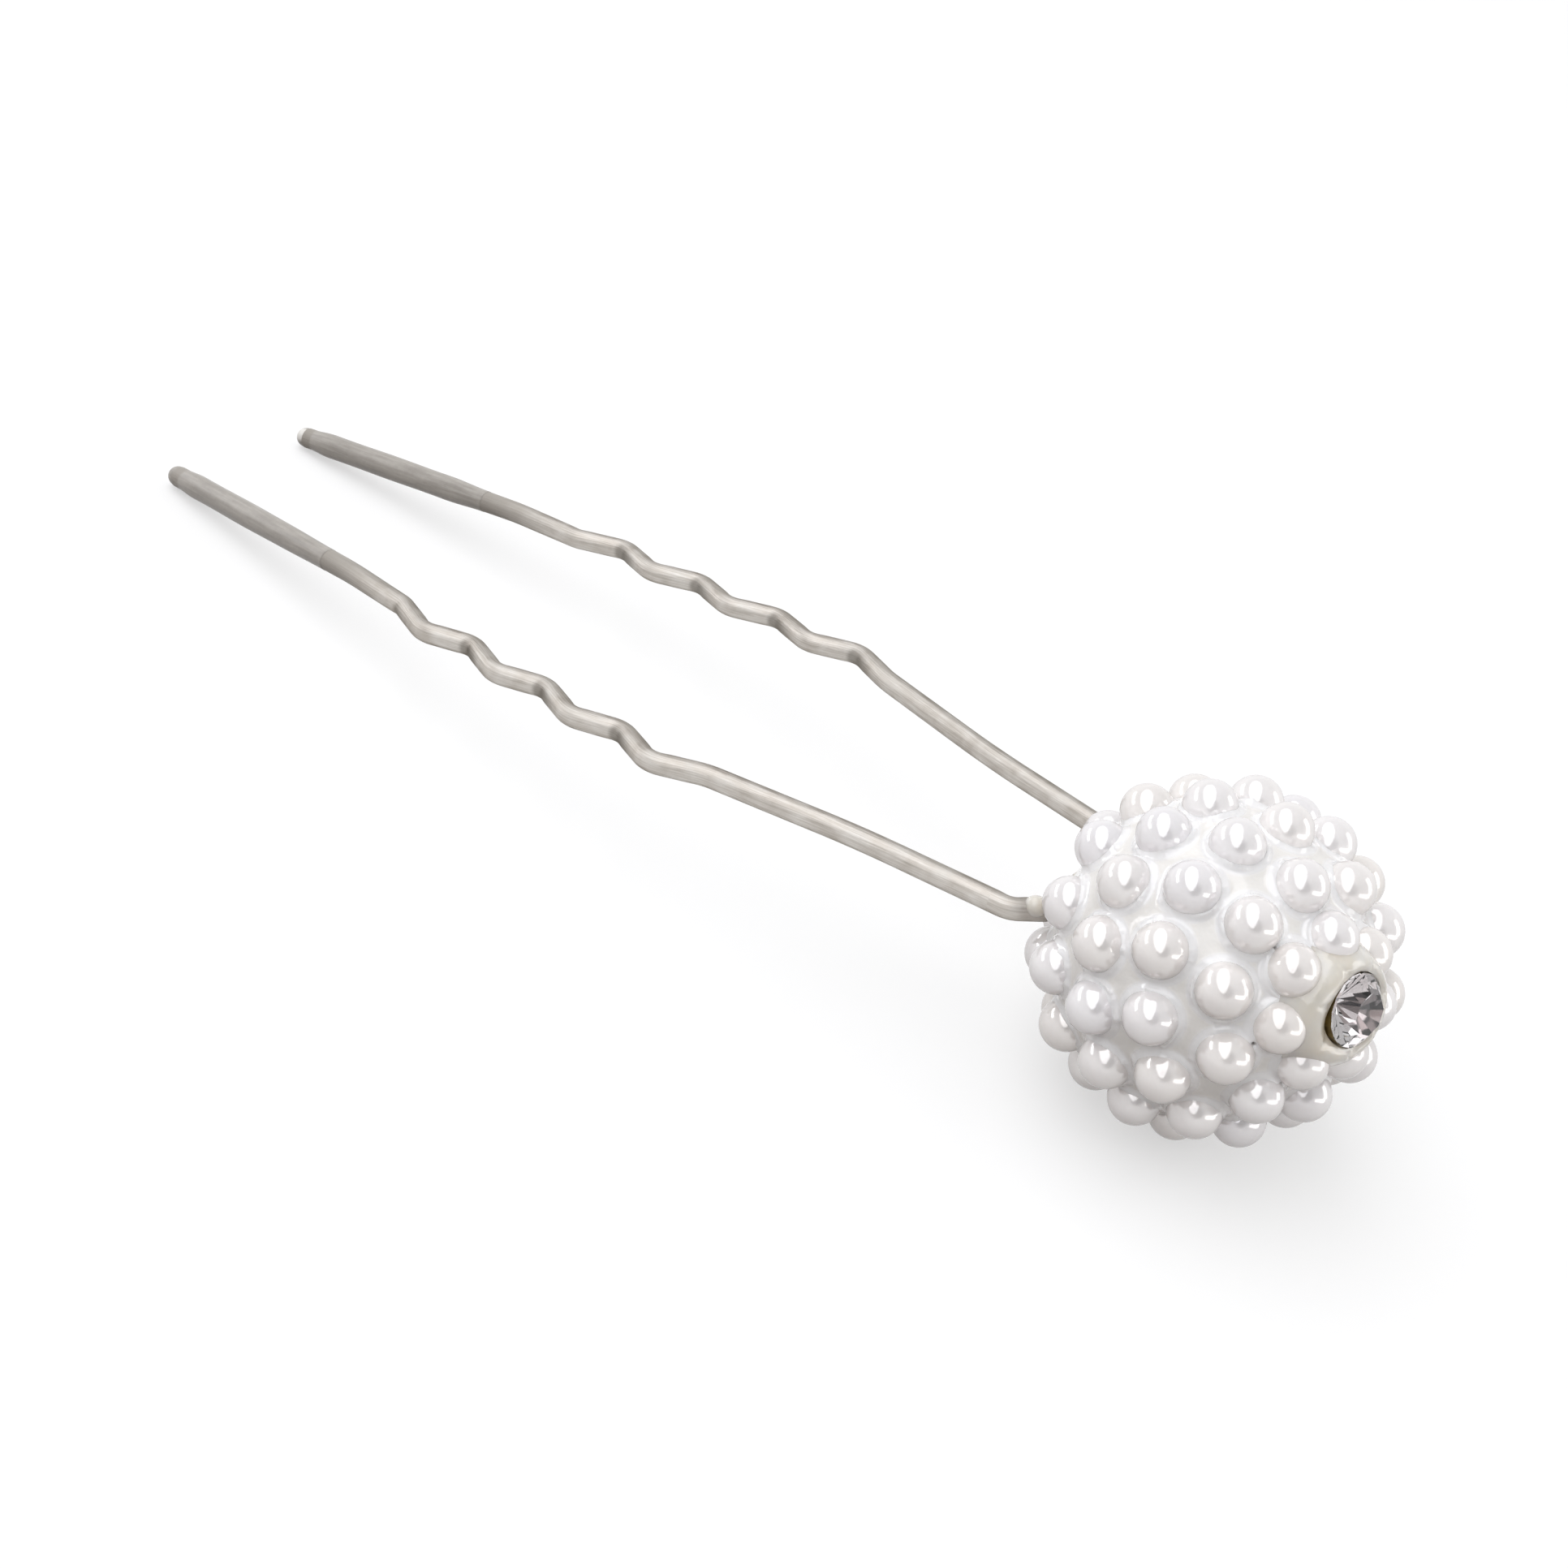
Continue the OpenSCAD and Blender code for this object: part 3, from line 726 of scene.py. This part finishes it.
def ripple(ways, length, seed):
    """A soft pattern round 0 over the ball: the sum of twelve plane waves of one length, headed anywhere."""
    dice = np.random.default_rng(seed)
    headings = unit(dice.normal(size=(12, 3)))
    starts = dice.uniform(0.0, 2 * np.pi, 12)
    return np.sin(2 * np.pi * COAT_R / length * (ways @ headings.T) + starts).sum(axis=-1) / np.sqrt(6)


def coat_relief(ways):
    """Height of the lacquer and the distance s to the nearest pearl's middle.

    Each collar is COLLAR exp(-(s - foot) / reach), level under its pearl. Collars add up as the root of the
    sum of their squares, up to COLLAR_TOP, and swell with a ripple. A thin creep of the same form climbs
    the pearl, and a lip like a bell curve runs round it, which wanders and breaks off with two more."""
    s = arc_to(ways, pearl_ways)
    collars = COLLAR * np.exp(-np.clip(s - COLLAR_FOOT, 0.0, None) / COLLAR_REACH)
    swelling = 1 + SWELL * np.clip(ripple(ways, *SWELL_RIPPLE), -SWELL_MOST, SWELL_MOST)
    body = np.minimum(np.sqrt((collars ** 2).sum(axis=-1)), COLLAR_TOP) * swelling
    near = s.min(axis=-1)
    creep = CREEP * np.exp(-np.clip(near - CREEP_FOOT, 0.0, None) / CREEP_REACH)
    wander = LIP_AT + LIP_WANDER * ripple(ways, *WANDER_RIPPLE)
    broken = np.clip(LIP_MEAN + LIP_SWING * ripple(ways, *BREAK_RIPPLE), 0.0, LIP_MOST)
    lip = LIP * broken * np.exp(-((near - wander) / LIP_WIDE) ** 2)
    return body + creep + lip, near


def turned(middle, axes, radii, heights, a=None):
    """Rings of a turned shape: middle + radius (cos a across + sin a beside) + height along its axes."""
    if a is None:
        a = angles_round(radii.shape[-1])
    flat = radii[..., None] * (np.cos(a)[:, None] * axes[0] + np.sin(a)[:, None] * axes[1])
    return middle + flat + heights[..., None] * axes[2]


photo_side = hole_axes @ (pin_axes @ (camera_place - ball_middle))
facing = np.arctan2(photo_side[1], photo_side[0])
even_turn = angles_round(COAT_COLUMNS)
around_turn = even_turn - CROWDING * np.sin(even_turn - facing)
polar = np.linspace(np.pi - MOUTH, MOUTH, COAT_ROWS)[:, None]
around = around_turn[None]
coat_ways = turned(
    np.zeros(3), hole_axes, np.sin(polar) + 0 * around, np.cos(polar) + 0 * around, around_turn
)
relief, nearest = coat_relief(coat_ways)

near_pairs = np.argwhere(np.triu(arc_to(pearl_ways, pearl_ways) < PINHOLE_SPAN, 1))
pinholes = unit(pearl_ways[near_pairs].sum(axis=1))[rng.random(len(near_pairs)) < PINHOLE_SHARE]
pinhole = np.exp(-(arc_to(coat_ways, pinholes).min(axis=-1) / PINHOLE_R) ** 2)
bare = np.clip((nearest - BARE_FROM) / BARE_OVER, 0.0, 1.0)
bare = bare * bare * (3 - 2 * bare)

drops = unit(rng.normal(size=(DROP_TRIES, 3)))
beside_pearl = arc_to(drops, pearl_ways).min(axis=-1)
drops = drops[(beside_pearl > DROP_BESIDE[0]) & (beside_pearl < DROP_BESIDE[1])][:DROP_MOST]
drop_r = rng.uniform(*DROP_R, len(drops))
dropped = (DROP_RISE * drop_r * np.exp(-(arc_to(coat_ways, drops) / drop_r) ** 2)).max(axis=-1)

outer = COAT_R + relief + dropped - PINHOLE_DEPTH * pinhole
under_polar = np.linspace(MOUTH, np.pi - MOUTH, UNDER_ROWS)[:, None] + 0 * around
radius = np.concatenate([outer, np.full_like(under_polar, CORE_R)])
angle = np.concatenate([polar + 0 * around, under_polar])
rings = turned(np.zeros(3), hole_axes, radius * np.sin(angle), radius * np.cos(angle), around_turn)
coat = make_piece("lacquer_between_pearls", *skin_rings(rings[None], loop=True), sharp_angle=60)
note_points(coat, "bare", bare)
note_points(coat, "pinhole", pinhole)
print("pinholes", len(pinholes), "drops", len(drops), "highest collar", relief.max().round(2))

# %% [markdown]
# The lacquer is milky: light goes a little way into it before it comes back, which the shader's subsurface
# does. It is wet-looking on the collars and duller on the bare spots. The pinholes are painted dark, as
# painted shade in the holes.

# %% The lacquer's finish
milk, shader = new_finish(
    "milky_lacquer", IOR=1.5, Coat_Weight=1.0, Coat_Roughness=0.05,
    Subsurface_Weight=0.3, Subsurface_Scale=0.0005, Subsurface_Radius=(1.0, 0.95, 0.9),
)
haze = cloud(milk, 700.0, 3.0)
white = tone(milk, haze, (0.3, (0.86, 0.85, 0.85)), (0.7, (0.92, 0.915, 0.92)))
spots = mingle(milk, noted(milk, "bare"), white, (0.84, 0.82, 0.79, 1.0))
# Painted shade: the pinholes are darkened where shade falls in them.
depth = fit_range(milk, noted(milk, "pinhole"), 0.3, 0.9, 0.0, 0.85)
pinhole_shaded = mingle(milk, depth, spots, (0.22, 0.2, 0.18, 1.0))
join(milk, pinhole_shaded, shader, "Base Color")
join(milk, fit_range(milk, noted(milk, "bare"), 0.0, 1.0, 0.12, 0.42), shader, "Roughness")
emboss(milk, shader, cloud(milk, 1300.0, 2.0), 0.00016, 0.5)
settle(coat, milk, "coat", "ball_head", "glue_coat")

# %% [markdown]
# Each pearl is a flat-backed plastic bead sprayed with pearl lacquer. A pearl's glow is a sharp clear coat
# over a soft, faintly metallic layer, on a warm white body, and its rim is a little darker, which the tint
# of the grazing reflection does. They are not all alike: those with room took on more lacquer, some lean to
# lavender and some to cream, so every pearl keeps a number of its own.

# %% The pearls
PEARL_ROWS, PEARL_SIDES = 24, 44
SEAT_GAP = 0.02
SEAT_R = COAT_R + SEAT_GAP


def across_axes(ways):
    """Two directions at right angles to each way, and the way itself, as the rows of a matrix."""
    helper = np.where(np.abs(ways[:, 2:]) < 0.9, [[0.0, 0.0, 1.0]], [[1.0, 0.0, 0.0]])
    across = unit(np.cross(helper, ways))
    return np.stack([across, np.cross(ways, across), ways], axis=1)


def pearl_rings(ways, radii):
    """Rings of pearls from seat to crown: spheres whose crowns touch the ball's radius, flat at the seat.

    A ring at angle v from the crown is middle + r (sin v circle + cos v way), from v at the seat to 0."""
    r = radii[:, None, None, None]
    middle = ((BALL_R - radii)[:, None] * ways)[:, None, None]
    foot = np.arccos((SEAT_R - BALL_R + radii) / radii)
    v = (foot[:, None] * np.linspace(1.0, 0.0, PEARL_ROWS + 1)[:-1])[..., None, None]
    axes = across_axes(ways)
    a = angles_round(PEARL_SIDES)
    circle = np.cos(a)[None, :, None] * axes[:, None, 0] + np.sin(a)[None, :, None] * axes[:, None, 1]
    return middle + r * (np.sin(v) * circle[:, None] + np.cos(v) * axes[:, None, None, 2])


nacre, shader = new_finish(
    "pearl_lacquer", IOR=1.5, Specular_Tint=(0.5, 0.485, 0.48, 1.0),
    Coat_Weight=0.5, Coat_Roughness=0.03, Coat_IOR=1.6,
    Subsurface_Weight=0.1, Subsurface_Scale=0.0006, Subsurface_Radius=(1.0, 0.95, 0.9),
)
swirl = cloud(nacre, 650.0, 3.0)
own = noted(nacre, "own_tint")
body_white = tone(
    nacre, own,
    (0.0, (0.90, 0.865, 0.835)), (0.5, (0.905, 0.88, 0.87)), (1.0, (0.90, 0.885, 0.90)),
)
shimmer = tone(nacre, swirl, (0.3, (0.92, 0.90, 0.92)), (0.7, (1.0, 1.0, 0.985)))
swirled = mingle(nacre, 0.3, body_white, shimmer, "MULTIPLY")
join(nacre, swirled, shader, "Base Color")
join(nacre, fit_range(nacre, swirl, 0.3, 0.7, 0.11, 0.17), shader, "Roughness")
join(nacre, fit_range(nacre, swirl, 0.3, 0.7, 0.24, 0.32), shader, "Metallic")
emboss(nacre, shader, cloud(nacre, 1800.0, 2.0), 0.00003, 0.25)

ring_radii = np.split(pearl_r, np.cumsum([len(ways) for ways in rings_of_ways])[:-1])
for number, (ways, radii) in enumerate(zip(rings_of_ways, ring_radii), start=1):
    skin = skin_rings(pearl_rings(ways, radii), start=SEAT_R * ways, end=BALL_R * ways)
    pearls = make_piece(f"pearls_{number}", *skin, sharp_angle=60)
    tints = rng.random(len(ways))
    every = np.concatenate([np.repeat(tints, PEARL_ROWS * PEARL_SIDES), tints, tints])
    note_points(pearls, "own_tint", every)
    settle(pearls, nacre, "pearl", "ball_head", f"pearl_ring_{number}")

# %% [markdown]
# A cut crystal closes the hole's mouth. Its cut is eight slanted facets and eight small triangles round a
# flat table, and sixteen facets to a point below. Glass alone would look empty: a mirror foil on its back
# throws the light out again. The facets stay flat, so these pieces are not smoothed.
# Each facet keeps a number. On the crown and on the foil's inner facets it paints the facet from dark to
# pale:
# painted reflections, standing in for the parts of the room that every facet of a real stone shows.

# %% The crystal and its foil
STONE_R, TABLE_R, GIRDLE_Z = 1.95, 1.12, 9.53
GIRDLE_T, CROWN_H, PAVILION_H, FOIL_T, FOIL_WALL = 0.12, 0.75, 1.5, 0.05, 0.55
TABLE_SIDES, GIRDLE_SIDES, GIRDLE_TURN = 8, 16, 11.25
FOIL_GAP, FOIL_TAPER = 0.01, 0.04
STONE_PIVOT, STONE_LEAN = 5.5, np.radians(6.0)


def stone_ring(radius, z, sides, offset):
    """A ring of points at a height over the ball's middle, on the axes of the hole."""
    a = np.radians(offset + 360.0 * np.arange(sides) / sides)
    return np.stack([radius * np.cos(a), radius * np.sin(a), np.full(sides, z)], axis=1)


def askew(points):
    """Points turned about a pivot in the ball, round the camera's upward way k, as the stone was set.

    An arm a from the pivot becomes a cos t + (k x a) sin t + k (k . a)(1 - cos t)."""
    pivot = STONE_PIVOT * hole_axes[2]
    arm = points - pivot
    axis = pin_axes @ view_up
    swung = arm * np.cos(STONE_LEAN) + np.cross(axis, arm) * np.sin(STONE_LEAN)
    return pivot + swung + (arm @ axis)[..., None] * axis * (1 - np.cos(STONE_LEAN))


def flat_piece(name, points, faces):
    """An object with flat facets, from points on the axes of the hole, set a little askew."""
    piece = make_piece(name, askew(points @ hole_axes), faces)
    piece.data.shade_flat()
    return piece


def note_facets(piece, name, values):
    """Keeps a number for each facet, for the finish to read."""
    layer = piece.data.attributes.new(name, "FLOAT", "FACE")
    layer.data.foreach_set("value", np.asarray(values, np.float32))


def facets(*corners):
    """Faces from columns of point numbers, one column for each corner."""
    return np.stack(corners, axis=1).tolist()


table = stone_ring(TABLE_R, GIRDLE_Z + GIRDLE_T + CROWN_H, TABLE_SIDES, 0.0)
girdle_top = stone_ring(STONE_R, GIRDLE_Z + GIRDLE_T, GIRDLE_SIDES, GIRDLE_TURN)
girdle_low = stone_ring(STONE_R, GIRDLE_Z, GIRDLE_SIDES, GIRDLE_TURN)
culet = np.array([[0.0, 0.0, GIRDLE_Z - PAVILION_H]])
stone_points = np.vstack([table, girdle_top, girdle_low, culet])
k = np.arange(TABLE_SIDES)
g = np.arange(GIRDLE_SIDES)
after = np.roll(g, -1)
top = TABLE_SIDES
low = top + GIRDLE_SIDES
lowest = np.full(GIRDLE_SIDES, low + GIRDLE_SIDES)
slants = facets(k, top + 2 * k, top + 2 * k + 1, np.roll(k, -1))
stars = facets(k, top + (2 * k - 1) % GIRDLE_SIDES, top + 2 * k)
band = facets(low + g, low + after, top + after, top + g)
below = facets(lowest, low + after, low + g)
stone = flat_piece("cut_crystal", stone_points, [k.tolist()] + slants + stars + band + below)

rim_in = stone_ring(STONE_R, GIRDLE_Z - FOIL_GAP, GIRDLE_SIDES, GIRDLE_TURN)
rim_out = stone_ring(STONE_R - FOIL_TAPER, GIRDLE_Z - FOIL_WALL, GIRDLE_SIDES, GIRDLE_TURN)
foil_inside = culet - [0.0, 0.0, FOIL_GAP]
foil_points = np.vstack([rim_in, rim_out, foil_inside, foil_inside - [0.0, 0.0, FOIL_T]])
outer_rim = GIRDLE_SIDES
cup_point = np.full(GIRDLE_SIDES, 2 * GIRDLE_SIDES)
inner = facets(cup_point, g, after)
edge = facets(outer_rim + g, outer_rim + after, after, g)
back = facets(cup_point + 1, outer_rim + after, outer_rim + g)
foil = flat_piece("crystal_foil", foil_points, inner + edge + back)

# Painted reflections: tones of the table, the crown's facets and the foil's inner facets, listed one by one.
TABLE_PAINTED_REFLECTION = (0.8,)
SLANT_PAINTED_REFLECTIONS = (0.7, 1.0, 0.4, 0.15, 0.15, 0.7, 1.0, 0.7)
STAR_PAINTED_REFLECTIONS = (0.7, 1.0, 0.6, 0.2, 0.1, 0.3, 1.0, 0.8)
FOIL_PAINTED_REFLECTIONS = (0.7, 1.0, 0.8, 0.0, 0.1, 0.3, 0.25, 0.2, 0.3, 0.25, 0.5, 1.0, 1.0, 0.6, 0.5, 0.7)
GILT_SHADE = 2.0
note_facets(stone, "facet_painted_reflection", TABLE_PAINTED_REFLECTION + SLANT_PAINTED_REFLECTIONS + STAR_PAINTED_REFLECTIONS + (1.0,) * (2 * GIRDLE_SIDES))
note_facets(foil, "painted_reflection_and_gilt", FOIL_PAINTED_REFLECTIONS + (GILT_SHADE,) * (2 * GIRDLE_SIDES))

glass, shader = new_finish("clear_crystal", IOR=1.58, Transmission_Weight=1.0, Roughness=0.0)
hue = cloud(glass, 500.0, 1.0)
clear = tone(glass, hue, (0.3, (0.93, 0.90, 0.92)), (0.7, (0.99, 0.98, 0.99)))
# Painted reflection: the crown's facets are tinted from dark to clear.
painted_facet_tone = tone(glass, noted(glass, "facet_painted_reflection"), (0.0, (0.30, 0.26, 0.25)), (1.0, (1.0, 1.0, 1.0)))
join(glass, mingle(glass, 1.0, clear, painted_facet_tone, "MULTIPLY"), shader, "Base Color")
settle(stone, glass, "crystal", "ball_head", "stone")

mirror, shader = new_finish("mirror_foil", Metallic=1.0)
facet = noted(mirror, "painted_reflection_and_gilt")
# Painted reflection: the foil's inner facets are coloured from black to white; the gilt edge is its own
# colour.
inside = tone(
    mirror, facet,
    (0.0, (0.02, 0.015, 0.018)), (0.25, (0.31, 0.265, 0.255)),
    (0.7, (0.58, 0.51, 0.49)), (1.0, (0.94, 0.915, 0.90)),
)
gilt = tone(mirror, cloud(mirror, 1500.0, 3.0), (0.3, (0.16, 0.115, 0.045)), (0.7, (0.30, 0.225, 0.09)))
outside = fit_range(mirror, facet, 1.2, 1.8, 0.0, 1.0)
join(mirror, mingle(mirror, outside, inside, gilt), shader, "Base Color")
join(mirror, fit_range(mirror, facet, 1.2, 1.8, 0.14, 0.4), shader, "Roughness")
settle(foil, mirror, "foil", "ball_head", "stone_foil")

# %% [markdown]
# The crystal is held by a pool of clear, slightly yellow glue. It hugs the stone and the pearls of the first
# ring and has run down on one side. It is a height over the sphere again, this time closed to a ring
# with a floor on the lacquer, so that light passes through a real thickness of glue.

# %% The clear glue
GLUE_IN, GLUE_OUT = 2.0, 3.95
GLUE_ROWS, GLUE_FLOOR_ROWS, GLUE_COLUMNS = 44, 10, 220
GLUE_RISE, GLUE_EDGE, GLUE_FLOOR = 0.05, 0.03, 0.02
RUN_DROP, RUN_SPREAD, FALL_STEEP, RUN_FULL = 0.42, 0.75, 1.1, 0.6
CLIMB, CLIMB_FOOT, CLIMB_REACH = 0.4, 1.2, 0.4
RUN_RIGHT, RUN_UP = -0.93, -0.36
run_way = RUN_RIGHT * view_right + RUN_UP * view_up
sag_way = unit(hole_axes @ unit(pin_axes @ run_way))
sag_turn = np.arctan2(sag_way[1], sag_way[0])


def glue_top(lateral, turn):
    """Height of the glue over the ball's middle plane, on the axes of the hole.

    It falls from the girdle to the lacquer by a half cosine to a power. On the side where it ran it starts
    lower and bulges more. It climbs the pearls by bell curves, joined as the lacquer's collars are."""
    along = (lateral - GLUE_IN) / (GLUE_OUT - GLUE_IN)
    fall = 0.5 + 0.5 * np.cos(np.pi * along)
    floor_z = np.sqrt(COAT_R ** 2 - lateral ** 2) + GLUE_EDGE
    sag = np.exp(-(np.angle(np.exp(1j * (turn - sag_turn))) / RUN_SPREAD) ** 2)
    top_z = GIRDLE_Z + GLUE_RISE - RUN_DROP * sag
    ways = unit(np.stack([lateral * np.cos(turn), lateral * np.sin(turn), floor_z], axis=-1)) @ hole_axes
    bells = np.exp(-(np.clip(arc_to(ways, pearl_ways) - CLIMB_FOOT, 0, None) / CLIMB_REACH) ** 2)
    climb = CLIMB * np.sqrt((bells ** 2).sum(axis=-1)) * np.sin(np.pi * np.clip(along, 0, 1))
    return floor_z + (top_z - floor_z) * fall ** (FALL_STEEP - RUN_FULL * sag) + climb


lateral = np.linspace(GLUE_OUT, GLUE_IN, GLUE_ROWS)[:, None]
turn = angles_round(GLUE_COLUMNS)[None]
upper = glue_top(lateral + 0 * turn, turn + 0 * lateral)
lower_r = np.linspace(GLUE_IN, GLUE_OUT, GLUE_FLOOR_ROWS)[:, None] + 0 * turn
lower = np.sqrt(COAT_R ** 2 - lower_r ** 2) + GLUE_FLOOR
ring_r = np.concatenate([lateral + 0 * turn, lower_r])
rings = turned(np.zeros(3), hole_axes, ring_r, np.concatenate([upper, lower]))
follow = ((GLUE_OUT - ring_r) / (GLUE_OUT - GLUE_IN))[..., None]
rings += follow * (askew(rings) - rings)
pool = make_piece("clear_glue_pool", *skin_rings(rings[None], loop=True), sharp_angle=70)

resin, shader = new_finish(
    "clear_resin", IOR=1.47, Transmission_Weight=0.3, Roughness=0.06, Coat_Weight=1.0, Coat_Roughness=0.02,
    Subsurface_Weight=0.5, Subsurface_Scale=0.0006, Subsurface_Radius=(1.0, 0.96, 0.88),
)
cream = tone(resin, cloud(resin, 600.0, 2.0), (0.3, (0.97, 0.87, 0.75)), (0.7, (0.99, 0.94, 0.87)))
join(resin, cream, shader, "Base Color")
emboss(resin, shader, cloud(resin, 1100.0, 2.0), 0.00012, 0.5)
settle(pool, resin, "glue", "ball_head", "stone_glue")

# %% [markdown]
# Behind the ball the wire is bent forward like a bow and lies in a groove of the core, where it is glued in.
# This is hidden from the front, so it is kept plain and sound: a bead of the same clear glue that swells
# over the middle of the wire and thins out along it. Where the right leg leaves the ball, a small pale blob
# of
# the same glue is a painted highlight: it stands in for the glint on the wire there.

# %% The glue on the wire
BEAD_R, BEAD_HALF = 0.94, 1.98
BEAD_ROWS, BEAD_SIDES = 60, 64
BEAD_SKIN, BEAD_LUMPS, BEAD_FULL = 0.01, 0.12, 0.7
# Painted highlight: a small pale blob of glue where the wire glints as the right leg leaves the ball.
GLINT_HALF, GLINT_R, GLINT_BLUNT, GLINT_NOSE = 0.65, 0.6, 1.02, 1.01
glint_blob_middle = np.array([-8.53, -4.6, 0.95])
bow_axes = np.array([[0.0, 0.0, 1.0], [1.0, 0.0, 0.0], [0.0, 1.0, 0.0]])
bow_middle = np.array([CROSS_X, 0.0, PIN_LIFT])
along_bow = np.linspace(-BEAD_HALF, BEAD_HALF, BEAD_ROWS)[:, None]
round_bow = angles_round(BEAD_SIDES)[None]
swell = np.cos(np.pi / 2 * along_bow / BEAD_HALF) ** BEAD_FULL
lumpy = 1 - BEAD_LUMPS * (0.5 + 0.25 * (np.sin(2 * round_bow + along_bow) + np.sin(3.1 * along_bow + 1.0)))
bead_radius = WIRE_R + BEAD_SKIN + (BEAD_R - WIRE_R) * swell * lumpy
rings = turned(bow_middle, bow_axes, bead_radius, along_bow + 0 * round_bow)
bead_ends = bow_middle + np.array([[0.0, -BEAD_HALF, 0.0], [0.0, BEAD_HALF, 0.0]])
glint_blob_way = unit((corner - shoulder) * MIRROR)
glint_blob_axes = across_axes(glint_blob_way[None])[0]
along_glint_blob = GLINT_HALF * np.sin(np.pi / 2 * np.linspace(-1.0, 1.0, BEAD_ROWS))[:, None]
glint_blob_radius = GLINT_R * np.sqrt(GLINT_BLUNT - (along_glint_blob / GLINT_HALF) ** 2) + 0 * round_bow
glint_blob_rings = turned(glint_blob_middle, glint_blob_axes, glint_blob_radius, along_glint_blob + 0 * round_bow)
glint_blob_ends = glint_blob_middle + np.outer([-GLINT_HALF, GLINT_HALF], glint_blob_way) * GLINT_NOSE
starts, ends = np.stack([bead_ends, glint_blob_ends], axis=1)
skin = skin_rings(np.stack([rings, glint_blob_rings]), start=starts, end=ends)
bow_bead = make_piece("glue_on_the_wire", *skin, sharp_angle=70)
settle(bow_bead, resin, "glue", "ball_head", "bow_glue")

# %% [markdown]
# The bead under the pearls is a solid from the frame, and its shape is right as it is.
# Only its finish is set here: milky plastic with faint clouds, seen down the open end of its hole.

# %% The core's finish
plastic, shader = new_finish(
    "milky_plastic", IOR=1.5,
    Subsurface_Weight=0.2, Subsurface_Scale=0.0005, Subsurface_Radius=(1.0, 0.95, 0.9),
)
dust = cloud(plastic, 800.0, 3.0)
clouded = tone(plastic, dust, (0.3, (0.74, 0.73, 0.71)), (0.7, (0.83, 0.82, 0.80)))
join(plastic, clouded, shader, "Base Color")
join(plastic, fit_range(plastic, dust, 0.3, 0.7, 0.3, 0.45), shader, "Roughness")
emboss(plastic, shader, dust, 0.00004, 0.3)
core = frame["nodes"]["ball_core"]
core.data.materials.clear()
core.data.materials.append(plastic)
print("core has", plastic.name)

# %% [markdown]
# Last, the colours are shown as they are written.

# %% Colours as written
bpy.context.scene.view_settings.view_transform = "Standard"
